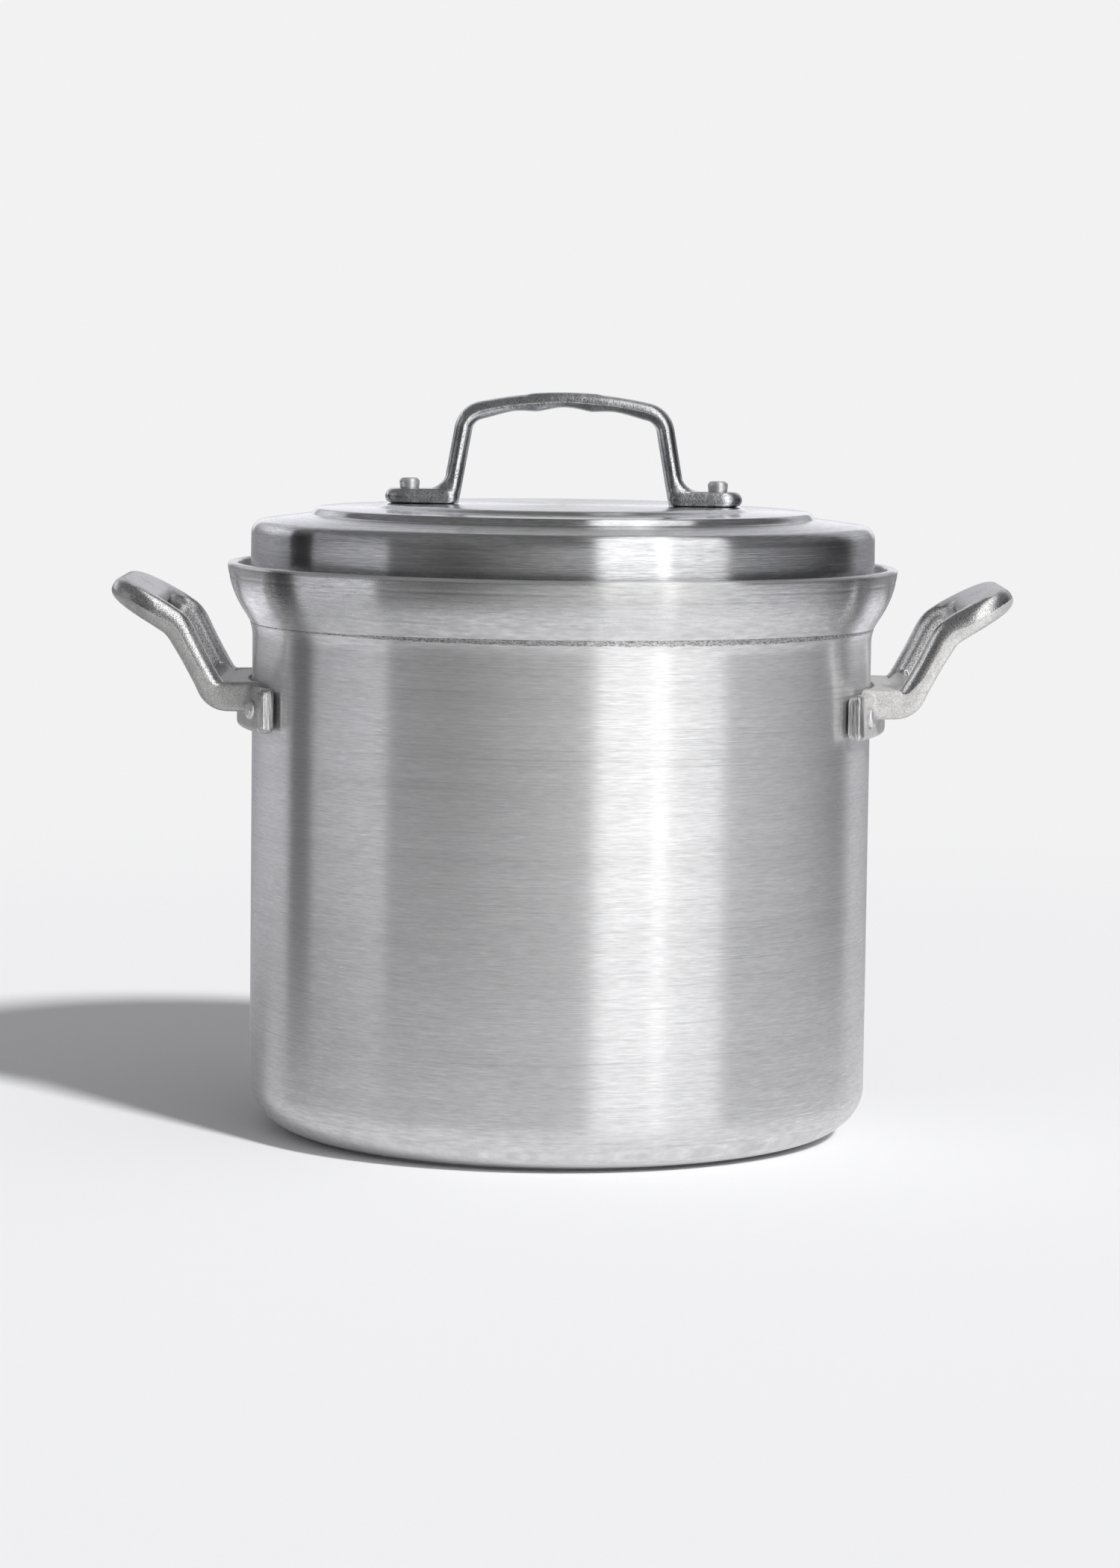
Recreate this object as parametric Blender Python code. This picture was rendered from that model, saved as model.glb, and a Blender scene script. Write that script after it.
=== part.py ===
"""Aluminium stock pot with a drop-in lid. Metres, +Z up, origin at the bottom centre, handles along X."""

import math

import bmesh
import bpy
from mathutils import Matrix, Vector

MM = 0.001

# Pot body
OUTER_R = 124.0
WALL = 4.0
FLOOR = 5.0
BASE_CORNER_R = 22.7
BASE_CORNER_H = 18.9
FLARE_START_Z = 197.5
FLARE_OUT_R = 16.6
FLARE_BACK_R = 39.7
FLARE_STEEP = math.radians(35.0)
FLARE_END = math.radians(5.6)
RIM_TOP_Z = 227.3
RIM_EDGE_R = 1.4
RIM_EDGE_LOW = 0.6
CORNER_STEPS = 6
TURNS = 64

# Lid
LID_SHEET = 2.5
SKIRT_R = 125.0
SKIRT_BOTTOM_Z = 211.9
SHOULDER_R = 123.2
SHOULDER_Z = 244.0
SHOULDER_DROP = 11.0
OUTER_RING_Z = 246.3
MIDDLE_TIER_R = 102.0
MIDDLE_TIER_EDGE_R = 96.0
MIDDLE_TIER_Z = 249.1
TOP_TIER_R = 75.4
TOP_TIER_EDGE_R = 70.3
TOP_TIER_Z = 251.0

# Bow handle on the lid
FIT_GAP = 0.3
FOOT_Z = TOP_TIER_Z + FIT_GAP
FOOT_THICK = 5.7
FOOT_END_X = 71.5
FOOT_HALF_Y = 8.5
FOOT_INNER_X = 42.0
FOOT_INNER_CUT = 3.0
FOOT_SINK = 1.0
LEG_LEAN = math.radians(9.9)
BOW_CROWN_X = 33.5
BOW_CROWN_R = 155.0
BOW_CROWN_Z = 292.05
BOW_CORNER_R = 9.0
BOW_HALF_T = 3.55
LEG_HALF_T = 3.6
BOW_HALF_Y = 6.5
BOW_SECTION_POWER = 0.8
SCALLOP_PITCH = 22.6
SCALLOP_DEPTH = 1.3
PAD_HALF_X = 15.5
PAD_HALF_Y = 3.6
PAD_HIGH = 0.6
PAD_SIDE = 1.0
LID_RIVET_X = 61.7
LID_RIVET_HEAD_R = 4.05
LID_RIVET_HEAD_H = 3.9
LID_RIVET_SHANK_R = 2.5
LID_FLAT_R = LID_RIVET_X - 12.0

# Side handles
SIDE_TIP_X = 177.8
SIDE_BASE_Z = 175.4
SIDE_KNEE_X = 136.2
SIDE_KNEE_R = 7.5
SIDE_RISE = math.radians(61.5)
SIDE_BEND_X = 151.7
SIDE_BEND_R = 16.0
SIDE_GRIP_SLOPE = math.radians(29.5)
SIDE_ROOT_X = 117.0
ARM_OUT_Y = 43.5
ARM_IN_Y = 34.5
GRIP_WIDE = 20.0
GRIP_CORNER_OUT = 20.0
GRIP_CORNER_IN = 8.0
ARM_THICK_ROOT = 12.0
ARM_THICK = 9.8
BEND_THICK = 10.8
TIP_THICK = 10.6
ROOT_FULL_S = 13.0
ARM_SLIM_S = 28.0
BEND_TO_TIP = 31.0
BEND_GROW = 14.0
SIDE_SECTION_POWER = 0.58
WEB_LENGTH = 25.5
WEB_INSET = 0.5
WEB_LAP_Y = 2.0
WEB_EDGE_THIN = 0.62
FLANGE_CENTRE_X = -6.7
FLANGE_IN_R = 131.0
FLANGE_THICK = 5.7
FLANGE_LOW_Z = 162.0
FLANGE_HIGH_Z = 179.7
FLANGE_HALF_ANGLE = math.radians(25.3)
FLANGE_CHAMFER = 1.4
FLANGE_END_CHAMFER = 1.6
FLANGE_END_LONG = 0.9
FLANGE_SINK = 2.0
SIDE_RIVET_ANGLE = math.radians(21.8)
SIDE_RIVET_Z = 170.8
SIDE_RIVET_HEAD_R = 3.8
SIDE_RIVET_HEAD_H = 2.1
SIDE_RIVET_SHANK_R = 2.4
INNER_HEAD_R = 4.6
INNER_HEAD_H = 1.6
HEAD_EDGE = 0.4
RIVET_TURNS = 16


for stale in list(bpy.data.objects):
    bpy.data.objects.remove(stale, do_unlink=True)


def material(name, colour, roughness):
    made = bpy.data.materials.new(name)
    made.use_nodes = True
    shader = made.node_tree.nodes["Principled BSDF"]
    shader.inputs["Base Color"].default_value = (*colour, 1.0)
    shader.inputs["Metallic"].default_value = 1.0
    shader.inputs["Roughness"].default_value = roughness
    return made


def add_object(name, bm, mat, helper=False):
    """Turns a bmesh in millimetres into an object in metres."""
    bmesh.ops.recalc_face_normals(bm, faces=bm.faces)
    bmesh.ops.scale(bm, vec=(MM, MM, MM), verts=bm.verts)
    mesh = bpy.data.meshes.new(name)
    bm.to_mesh(mesh)
    bm.free()
    for face in mesh.polygons:
        face.use_smooth = not helper
    mesh.materials.append(mat)
    made = bpy.data.objects.new(name, mesh)
    bpy.context.scene.collection.objects.link(made)
    if helper:
        made.hide_render = True
        made.display_type = "WIRE"
    return made


def combine(target, other, operation):
    step = target.modifiers.new(other.name, "BOOLEAN")
    step.object = other
    step.operation = operation
    step.solver = "EXACT"


def arc(centre, radius, start, end, steps):
    """Points (a, b) on an arc, angles in radians, both ends included."""
    found = []
    for i in range(steps + 1):
        turn = start + (end - start) * i / steps
        found.append((centre[0] + radius * math.cos(turn), centre[1] + radius * math.sin(turn)))
    return found


def spun(bm, profile, turns):
    """A solid of revolution about Z from an open (r, z) profile that starts and ends on the axis."""
    rings = []
    for r, z in profile:
        if r < 1e-6:
            rings.append([bm.verts.new((0, 0, z))])
            continue
        ring = []
        for i in range(turns):
            turn = 2 * math.pi * i / turns
            ring.append(bm.verts.new((r * math.cos(turn), r * math.sin(turn), z)))
        rings.append(ring)
    for low, high in zip(rings, rings[1:]):
        for i in range(turns):
            j = (i + 1) % turns
            if len(low) == 1:
                bm.faces.new((low[0], high[j], high[i]))
            elif len(high) == 1:
                bm.faces.new((low[i], low[j], high[0]))
            else:
                bm.faces.new((low[i], low[j], high[j], high[i]))


def skinned(bm, rings, looped=False):
    """Joins equal rings of points into a tube, with flat ends unless it is looped."""
    made = [[bm.verts.new(point) for point in ring] for ring in rings]
    pairs = list(zip(made, made[1:]))
    if looped:
        pairs.append((made[-1], made[0]))
    count = len(made[0])
    for low, high in pairs:
        for i in range(count):
            j = (i + 1) % count
            bm.faces.new((low[i], low[j], high[j], high[i]))
    if not looped:
        bm.faces.new(made[0])
        bm.faces.new(made[-1])


def cylinder(name, mat, radius, low, high, turns, place=None):
    """A cutter along its own Z from low to high, moved by place."""
    bm = bmesh.new()
    spun(bm, [(0, low), (radius, low), (radius, high), (0, high)], turns)
    bmesh.ops.rotate(bm, verts=bm.verts, matrix=Matrix.Rotation(0.7 * math.pi / turns, 3, "Z"))
    if place is not None:
        bmesh.ops.transform(bm, matrix=place, verts=bm.verts)
    return add_object(name, bm, mat, helper=True)


def rounded_section(count, power):
    """Unit section points (u, v) of a squarish oval."""
    found = []
    for i in range(count):
        turn = 2 * math.pi * (i + 0.5) / count
        u = math.copysign(abs(math.cos(turn)) ** power, math.cos(turn))
        v = math.copysign(abs(math.sin(turn)) ** power, math.sin(turn))
        found.append((u, v))
    return found


def flare(radius_out, radius_back, start_r, steps):
    """The wall's run from the cylinder through the neck to the rim, as (r, z) points going up."""
    first = arc((start_r + radius_out, FLARE_START_Z), radius_out, math.pi, math.pi - FLARE_STEEP, steps)
    end_r, end_z = first[-1]
    centre = (
        end_r - radius_back * math.cos(FLARE_STEEP),
        end_z + radius_back * math.sin(FLARE_STEEP),
    )
    return first + arc(centre, radius_back, -FLARE_STEEP, -FLARE_END, steps)[1:]


def build_pot(mat):
    corner_centre_r = OUTER_R - BASE_CORNER_R
    outside = [(0, 0)]
    for i in range(CORNER_STEPS + 1):
        turn = 0.5 * math.pi * i / CORNER_STEPS
        outside.append(
            (corner_centre_r + BASE_CORNER_R * math.sin(turn), BASE_CORNER_H * (1 - math.cos(turn)))
        )
    outside += flare(FLARE_OUT_R, FLARE_BACK_R, OUTER_R, 4)
    rim_out = outside[-1][0]
    inside = flare(FLARE_OUT_R + WALL, FLARE_BACK_R - WALL, OUTER_R - WALL, 4)
    rim_in = inside[-1][0]
    rim = [
        (rim_out - 0.1, RIM_TOP_Z - RIM_EDGE_LOW),
        (rim_out - RIM_EDGE_R, RIM_TOP_Z),
        (rim_in + RIM_EDGE_R, RIM_TOP_Z),
        (rim_in + 0.1, RIM_TOP_Z - RIM_EDGE_LOW),
    ]
    floor = []
    inner_r = BASE_CORNER_R - WALL
    inner_h = BASE_CORNER_H - FLOOR
    for i in range(CORNER_STEPS):
        turn = 0.5 * math.pi * (1 - i / (CORNER_STEPS - 1))
        floor.append(
            (corner_centre_r + inner_r * math.sin(turn), FLOOR + inner_h * (1 - math.cos(turn)))
        )
    bm = bmesh.new()
    spun(bm, outside + rim + inside[::-1] + floor + [(0, FLOOR)], TURNS)
    return add_object("pot_body", bm, mat)


def build_lid(mat):
    shoulder = SHOULDER_Z - SHOULDER_DROP
    outside = [
        (SKIRT_R - 0.7, SKIRT_BOTTOM_Z),
        (SKIRT_R, SKIRT_BOTTOM_Z + 0.6),
        (SKIRT_R - 0.2, shoulder),
        (SHOULDER_R, SHOULDER_Z - 4.0),
        (SHOULDER_R - 1.2, SHOULDER_Z - 1.8),
        (SHOULDER_R - 3.3, SHOULDER_Z),
        (SHOULDER_R - 6.0, SHOULDER_Z + 0.8),
        (MIDDLE_TIER_R + 1.2, OUTER_RING_Z),
        (MIDDLE_TIER_R - 1.2, OUTER_RING_Z + 0.6),
        (MIDDLE_TIER_EDGE_R, MIDDLE_TIER_Z),
        (TOP_TIER_R + 0.8, MIDDLE_TIER_Z + 0.1),
        (TOP_TIER_R - 1.2, MIDDLE_TIER_Z + 0.6),
        (TOP_TIER_EDGE_R, TOP_TIER_Z),
        (LID_FLAT_R, TOP_TIER_Z),
        (0, TOP_TIER_Z),
    ]
    inside = [
        (0, TOP_TIER_Z - LID_SHEET),
        (LID_FLAT_R, TOP_TIER_Z - LID_SHEET),
        (TOP_TIER_EDGE_R - 0.6, TOP_TIER_Z - LID_SHEET),
        (TOP_TIER_R - 1.4, MIDDLE_TIER_Z - LID_SHEET),
        (MIDDLE_TIER_EDGE_R - 0.8, MIDDLE_TIER_Z - LID_SHEET),
        (MIDDLE_TIER_R - 1.6, OUTER_RING_Z - LID_SHEET),
        (SHOULDER_R - 6.2, SHOULDER_Z + 0.8 - LID_SHEET),
        (SHOULDER_R - 4.0, SHOULDER_Z - 3.6),
        (SHOULDER_R - LID_SHEET, SHOULDER_Z - 6.0),
        (SKIRT_R - LID_SHEET - 0.2, shoulder),
        (SKIRT_R - LID_SHEET, SKIRT_BOTTOM_Z + 0.6),
        (SKIRT_R - LID_SHEET + 0.5, SKIRT_BOTTOM_Z),
    ]
    bm = bmesh.new()
    spun(bm, inside + outside, TURNS)
    return add_object("lid", bm, mat)


def bow_path():
    """Stations (x, z, angle, half thickness) of the bow's centre line from the left foot to the right."""
    half = []
    for i in range(10):
        x = BOW_CROWN_X * i / 9
        z = BOW_CROWN_Z - (BOW_CROWN_R - math.sqrt(BOW_CROWN_R**2 - x**2))
        half.append((x, z, -math.asin(x / BOW_CROWN_R), BOW_HALF_T))
    start_x, start_z, start_turn, _ = half[-1]
    end_turn = LEG_LEAN - 0.5 * math.pi
    for i in range(1, 7):
        turn = start_turn + (end_turn - start_turn) * i / 6
        x = start_x + BOW_CORNER_R * (math.sin(-turn) - math.sin(-start_turn))
        z = start_z - BOW_CORNER_R * (math.cos(-start_turn) - math.cos(-turn))
        grow = BOW_HALF_T + (LEG_HALF_T - BOW_HALF_T) * i / 6
        half.append((x, z, turn, grow))
    x, z, turn, grow = half[-1]
    low = FOOT_Z + FOOT_SINK
    for i in range(1, 4):
        run = (z - low) / math.cos(LEG_LEAN) * i / 3
        half.append((x + run * math.sin(LEG_LEAN), z - run * math.cos(LEG_LEAN), turn, grow))
    return half


def build_bow(mat):
    half = bow_path()
    stations = [(-x, z, -turn, t) for x, z, turn, t in half[:0:-1]] + half
    section = rounded_section(16, BOW_SECTION_POWER)
    rings = []
    for x, z, turn, thick in stations:
        ring = []
        for u, v in section:
            depth = thick
            if v < 0 and abs(x) < 1.5 * SCALLOP_PITCH:
                wave = math.cos(math.pi * x / SCALLOP_PITCH)
                depth = thick - SCALLOP_DEPTH * wave * wave
            lift = 0.0
            if v > 0 and abs(x) < PAD_HALF_X and abs(u) * BOW_HALF_Y < PAD_HALF_Y + PAD_SIDE:
                lift = PAD_HIGH
            across = v * depth + lift
            ring.append((x - across * math.sin(turn), u * BOW_HALF_Y, z + across * math.cos(turn)))
        rings.append(ring)
    bm = bmesh.new()
    skinned(bm, rings)
    bow = add_object("lid_handle", bm, mat)
    for side in (-1, 1):
        plan = arc((FOOT_END_X - FOOT_HALF_Y, 0), FOOT_HALF_Y, -0.5 * math.pi, 0.5 * math.pi, 10)
        for sign in (1, -1):
            corner = [
                (FOOT_INNER_X + FOOT_INNER_CUT, sign * FOOT_HALF_Y),
                (FOOT_INNER_X, sign * (FOOT_HALF_Y - FOOT_INNER_CUT)),
            ]
            plan += corner[::sign]
        middle = 0.5 * (FOOT_END_X + FOOT_INNER_X)
        rings = []
        for z, shrink in ((0, 0.06), (1.2, 0), (FOOT_THICK - 1.4, 0), (FOOT_THICK, 0.1)):
            ring = []
            for x, y in plan:
                moved = middle + (x - middle) * (1 - shrink)
                ring.append((side * moved, y * (1 - 1.6 * shrink), FOOT_Z + z))
            rings.append(ring)
        bm = bmesh.new()
        skinned(bm, rings)
        foot = add_object("foot_shape_" + "lr"[side > 0], bm, mat, helper=True)
        combine(bow, foot, "UNION")
    return bow


def side_path():
    """Centre line of a side handle in the XZ plane, as (length, turned angle) runs from its root."""
    knee_t = SIDE_KNEE_R * math.tan(0.5 * SIDE_RISE)
    bend_t = SIDE_BEND_R * math.tan(0.5 * (SIDE_RISE - SIDE_GRIP_SLOPE))
    bend_z = SIDE_BASE_Z + (SIDE_BEND_X - SIDE_KNEE_X) * math.tan(SIDE_RISE)
    level = SIDE_KNEE_X - knee_t - SIDE_ROOT_X
    rise = math.hypot(SIDE_BEND_X - SIDE_KNEE_X, bend_z - SIDE_BASE_Z) - knee_t - bend_t
    grip = (SIDE_TIP_X - SIDE_BEND_X) / math.cos(SIDE_GRIP_SLOPE) - bend_t
    return [
        (level, 0.0),
        (SIDE_KNEE_R * SIDE_RISE, SIDE_RISE),
        (rise, 0.0),
        (SIDE_BEND_R * (SIDE_RISE - SIDE_GRIP_SLOPE), SIDE_GRIP_SLOPE - SIDE_RISE),
        (grip, 0.0),
    ]


def side_length():
    return sum(length for length, _ in side_path())


def side_point(s):
    """Position (x, z) and slope of the centre line at a distance s along it."""
    x, z, slope = SIDE_ROOT_X, SIDE_BASE_Z, 0.0
    runs = side_path()
    for index, (length, turned) in enumerate(runs):
        last = index == len(runs) - 1
        step = s if last else min(s, length)
        if turned:
            radius = length / turned
            new = slope + step / radius
            x += radius * (math.sin(new) - math.sin(slope))
            z += radius * (math.cos(slope) - math.cos(new))
            slope = new
        else:
            x += step * math.cos(slope)
            z += step * math.sin(slope)
        s -= step
        if s <= 1e-9:
            break
    return x, z, slope


def bent(s, y, high):
    """The point at s along the handle's centre line, y across, and high above it."""
    x, z, slope = side_point(s)
    return Vector((x - high * math.sin(slope), y, z + high * math.cos(slope)))


def arm_thickness(s):
    """Thickness along the centre line: full at the root, slimmer up the rise, full again at the bend."""
    full = side_length()
    bend = full - BEND_TO_TIP
    marks = [(0.0, ARM_THICK_ROOT), (ROOT_FULL_S, ARM_THICK_ROOT), (ARM_SLIM_S, ARM_THICK)]
    marks += [(bend - BEND_GROW, ARM_THICK), (bend, BEND_THICK), (full, TIP_THICK)]
    for (s1, t1), (s2, t2) in zip(marks, marks[1:]):
        if s <= s2:
            part = (s - s1) / (s2 - s1)
            part = part * part * (3 - 2 * part)
            return t1 + (t2 - t1) * part
    return TIP_THICK


def build_side(mat, rivet_cutters):
    full = side_length()
    runs = side_path()
    marks = [0.0, runs[0][0]]
    for index in range(1, 4):
        steps = 4 if index != 2 else 2
        start = marks[-1]
        for i in range(1, steps + 1):
            marks.append(start + runs[index][0] * i / steps)
    arm_end = full - GRIP_WIDE - GRIP_CORNER_IN
    pairs = [((s, ARM_OUT_Y), (s, ARM_IN_Y)) for s in marks if s < arm_end - 1.0]
    centre_out = (full - GRIP_CORNER_OUT, ARM_OUT_Y - GRIP_CORNER_OUT)
    centre_in = (arm_end, ARM_IN_Y - GRIP_CORNER_IN)
    for i in range(CORNER_STEPS + 1):
        turn = 0.5 * math.pi * i / CORNER_STEPS
        out = (
            centre_out[0] + GRIP_CORNER_OUT * math.sin(turn),
            centre_out[1] + GRIP_CORNER_OUT * math.cos(turn),
        )
        inn = (
            centre_in[0] + GRIP_CORNER_IN * math.sin(turn),
            centre_in[1] + GRIP_CORNER_IN * math.cos(turn),
        )
        pairs.append((out, inn))
    pairs += [((s1, -y1), (s2, -y2)) for (s1, y1), (s2, y2) in pairs[::-1]]
    section = rounded_section(12, SIDE_SECTION_POWER)
    rings = []
    for (s1, y1), (s2, y2) in pairs:
        ring = []
        for u, v in section:
            s = 0.5 * (s1 + s2) + 0.5 * (s1 - s2) * u
            y = 0.5 * (y1 + y2) + 0.5 * (y1 - y2) * u
            ring.append(bent(s, y, 0.5 * arm_thickness(s) * v))
        rings.append(ring)
    bm = bmesh.new()
    skinned(bm, rings)
    handle = add_object("right_handle", bm, mat)

    rings = []
    web_steps = 6
    for i in range(web_steps + 1):
        s = WEB_LENGTH * i / web_steps
        half = 0.5 * arm_thickness(s) - WEB_INSET
        edge = ARM_IN_Y + WEB_LAP_Y
        shape = [(-edge, -half), (edge, -half), (edge, half), (-edge, half)]
        if i == web_steps:
            shape = [(y, high * WEB_EDGE_THIN) for y, high in shape]
        rings.append([bent(s, y, high) for y, high in shape])
    bm = bmesh.new()
    skinned(bm, rings)
    web = add_object("web_shape", bm, mat, helper=True)
    combine(handle, web, "UNION")

    cut = FLANGE_CHAMFER
    low_r = FLANGE_IN_R - FLANGE_SINK
    high_r = FLANGE_IN_R + FLANGE_THICK
    section = [
        (low_r, FLANGE_LOW_Z),
        (high_r - cut, FLANGE_LOW_Z),
        (high_r, FLANGE_LOW_Z + cut),
        (high_r, FLANGE_HIGH_Z - cut),
        (high_r - cut, FLANGE_HIGH_Z),
        (low_r, FLANGE_HIGH_Z),
    ]
    middle = 0.5 * (FLANGE_LOW_Z + FLANGE_HIGH_Z)
    rings = []
    steps = 18
    for i in range(-1, steps + 2):
        turn = FLANGE_HALF_ANGLE * (2 * min(max(i, 0), steps) / steps - 1)
        shrink = 1.0
        if i in (-1, steps + 1):
            shrink = 1 - FLANGE_END_CHAMFER / (0.5 * (FLANGE_HIGH_Z - FLANGE_LOW_Z))
            turn *= 1 + FLANGE_END_LONG / (FLANGE_IN_R * FLANGE_HALF_ANGLE)
        ring = []
        for r, z in section:
            x = FLANGE_CENTRE_X + r * math.cos(turn)
            ring.append((x, r * math.sin(turn), middle + (z - middle) * shrink))
        rings.append(ring)
    bm = bmesh.new()
    skinned(bm, rings)
    flange = add_object("flange_shape", bm, mat, helper=True)
    combine(handle, flange, "UNION")

    place = Matrix.Translation((FLANGE_CENTRE_X, 0, 0))
    low, high = FLANGE_LOW_Z - 12.0, FLANGE_HIGH_Z + 15.0
    seat = cylinder("wall_clearance", mat, FLANGE_IN_R, low, high, 2 * TURNS, place)
    combine(handle, seat, "DIFFERENCE")
    for cutter in rivet_cutters:
        combine(handle, cutter, "DIFFERENCE")
    return handle


def rivet_place(turn):
    """Frame of a side rivet: its own Z along the pot's radius at this angle."""
    spin = Matrix.Rotation(turn, 4, "Z") @ Matrix.Rotation(0.5 * math.pi, 4, "Y")
    return Matrix.Translation((0, 0, SIDE_RIVET_Z)) @ spin


def rivet_mesh(bm, shank, inner_face, outer_face, head_r, head_h, dome):
    """A rivet along Z: an inside head below inner_face, a shank, and an outside head on outer_face."""
    profile = [
        (0, inner_face - INNER_HEAD_H),
        (INNER_HEAD_R * 0.6, inner_face - INNER_HEAD_H * 0.8),
        (INNER_HEAD_R, inner_face - HEAD_EDGE),
        (INNER_HEAD_R, inner_face),
        (shank, inner_face),
        (shank, outer_face),
        (head_r, outer_face),
    ]
    if dome:
        profile += [
            (head_r, outer_face + HEAD_EDGE),
            (head_r * 0.72, outer_face + head_h * 0.72),
            (head_r * 0.35, outer_face + head_h * 0.97),
        ]
    else:
        profile += [
            (head_r, outer_face + head_h - 3 * HEAD_EDGE),
            (head_r * 0.9, outer_face + head_h - HEAD_EDGE),
            (head_r * 0.65, outer_face + head_h),
        ]
    profile.append((0, outer_face + head_h))
    spun(bm, profile, RIVET_TURNS)


def main():
    brushed = material("brushed_aluminium", (0.78, 0.78, 0.79), 0.3)
    lid_metal = material("lid_aluminium", (0.76, 0.76, 0.77), 0.28)
    cast = material("cast_aluminium", (0.74, 0.73, 0.72), 0.4)
    polished = material("polished_cast_aluminium", (0.8, 0.8, 0.81), 0.22)
    rivet_metal = material("rivet_aluminium", (0.8, 0.8, 0.8), 0.25)

    reach = FLANGE_CENTRE_X * math.cos(SIDE_RIVET_ANGLE)
    off = FLANGE_CENTRE_X * math.sin(SIDE_RIVET_ANGLE)
    seat = reach + math.sqrt((FLANGE_IN_R + FLANGE_THICK) ** 2 - off**2) + FIT_GAP
    cutters = {}
    for side, base in (("right", 0.0), ("left", math.pi)):
        for where, sign in (("front", -1.0), ("back", 1.0)):
            flip = sign if side == "right" else -sign
            turn = base + flip * SIDE_RIVET_ANGLE
            bm = bmesh.new()
            rivet_mesh(
                bm,
                SIDE_RIVET_SHANK_R,
                OUTER_R - WALL - FIT_GAP,
                seat,
                SIDE_RIVET_HEAD_R,
                SIDE_RIVET_HEAD_H,
                True,
            )
            rivet = add_object(f"rivet_{side}_{where}", bm, rivet_metal)
            place = rivet_place(turn)
            rivet.rotation_euler = place.to_euler()
            rivet.location = place.translation * MM
            key = f"{side}_{where}"
            hole_r = SIDE_RIVET_SHANK_R + FIT_GAP
            low, high = OUTER_R - 3 * WALL, seat + 2 * SIDE_RIVET_HEAD_H
            cutters[key] = cylinder(f"hole_{key}", cast, hole_r, low, high, RIVET_TURNS, place)

    pot = build_pot(brushed)
    for cutter in cutters.values():
        combine(pot, cutter, "DIFFERENCE")

    right = build_side(cast, [cutters["right_front"], cutters["right_back"]])
    left = right.copy()
    left.data = right.data
    left.name = "left_handle"
    bpy.context.scene.collection.objects.link(left)
    left.modifiers.clear()
    for name in ("web_shape", "flange_shape", "wall_clearance"):
        shape = bpy.data.objects[name]
        turned = shape.copy()
        turned.name = name + "_left"
        turned.rotation_euler = (0, 0, math.pi)
        bpy.context.scene.collection.objects.link(turned)
        combine(left, turned, "DIFFERENCE" if name == "wall_clearance" else "UNION")
    combine(left, cutters["left_front"], "DIFFERENCE")
    combine(left, cutters["left_back"], "DIFFERENCE")
    left.rotation_euler = (0, 0, math.pi)

    lid = build_lid(lid_metal)
    bow = build_bow(polished)
    for side, sign in (("left", -1), ("right", 1)):
        bm = bmesh.new()
        rivet_mesh(
            bm,
            LID_RIVET_SHANK_R,
            TOP_TIER_Z - LID_SHEET - FIT_GAP,
            FOOT_Z + FOOT_THICK + FIT_GAP,
            LID_RIVET_HEAD_R,
            LID_RIVET_HEAD_H,
            False,
        )
        rivet = add_object(f"lid_rivet_{side}", bm, rivet_metal)
        rivet.location = (sign * LID_RIVET_X * MM, 0, 0)
        place = Matrix.Translation((sign * LID_RIVET_X, 0, 0))
        hole_r = LID_RIVET_SHANK_R + FIT_GAP
        low, high = TOP_TIER_Z - 4 * LID_SHEET, FOOT_Z + 2 * FOOT_THICK
        cutter = cylinder(f"lid_hole_{side}", cast, hole_r, low, high, RIVET_TURNS, place)
        combine(lid, cutter, "DIFFERENCE")
        combine(bow, cutter, "DIFFERENCE")


main()
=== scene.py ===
"""Looks of the aluminium stock pot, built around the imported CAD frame. Metres, +Z up."""

import math

import bmesh
import bpy
import numpy as np
from mathutils import Matrix, Vector


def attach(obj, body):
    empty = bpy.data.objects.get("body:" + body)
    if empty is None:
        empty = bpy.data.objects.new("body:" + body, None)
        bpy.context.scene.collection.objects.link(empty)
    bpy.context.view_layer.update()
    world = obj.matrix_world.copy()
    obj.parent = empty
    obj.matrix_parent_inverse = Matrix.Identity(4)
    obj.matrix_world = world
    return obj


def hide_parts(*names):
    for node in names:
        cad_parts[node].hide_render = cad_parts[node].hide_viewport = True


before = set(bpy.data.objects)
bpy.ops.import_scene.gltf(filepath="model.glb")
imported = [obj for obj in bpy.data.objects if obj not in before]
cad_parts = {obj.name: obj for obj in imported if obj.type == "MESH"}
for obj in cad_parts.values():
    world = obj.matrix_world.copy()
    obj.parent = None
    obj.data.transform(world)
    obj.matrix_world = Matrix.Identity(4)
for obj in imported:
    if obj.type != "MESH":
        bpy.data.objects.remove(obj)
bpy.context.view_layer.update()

MM = 0.001
QUARTER = math.pi / 2

# Sizes are in millimetres. A name with _S is a distance along a loop handle's centre line.

# Pot body
OUTER_R = 124.0
WALL = 4.0
FLOOR_THICK = 5.0
BASE_CORNER_R = 22.7
BASE_CORNER_H = 18.9
FLARE_START_Z = 197.5
FLARE_OUT_R = 16.6
FLARE_BACK_R = 39.7
FLARE_STEEP = math.radians(35.0)
FLARE_END = math.radians(5.6)
RIM_TOP_Z = 227.3
RIM_OUT_EDGE = 1.5
RIM_IN_EDGE = 1.0
NECK_Z = 203.7
NECK_GROOVE = (NECK_Z - 0.9, NECK_Z + 0.9, 0.16)
COLLAR_GROOVE = (221.4, 222.6, 0.12)

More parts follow.
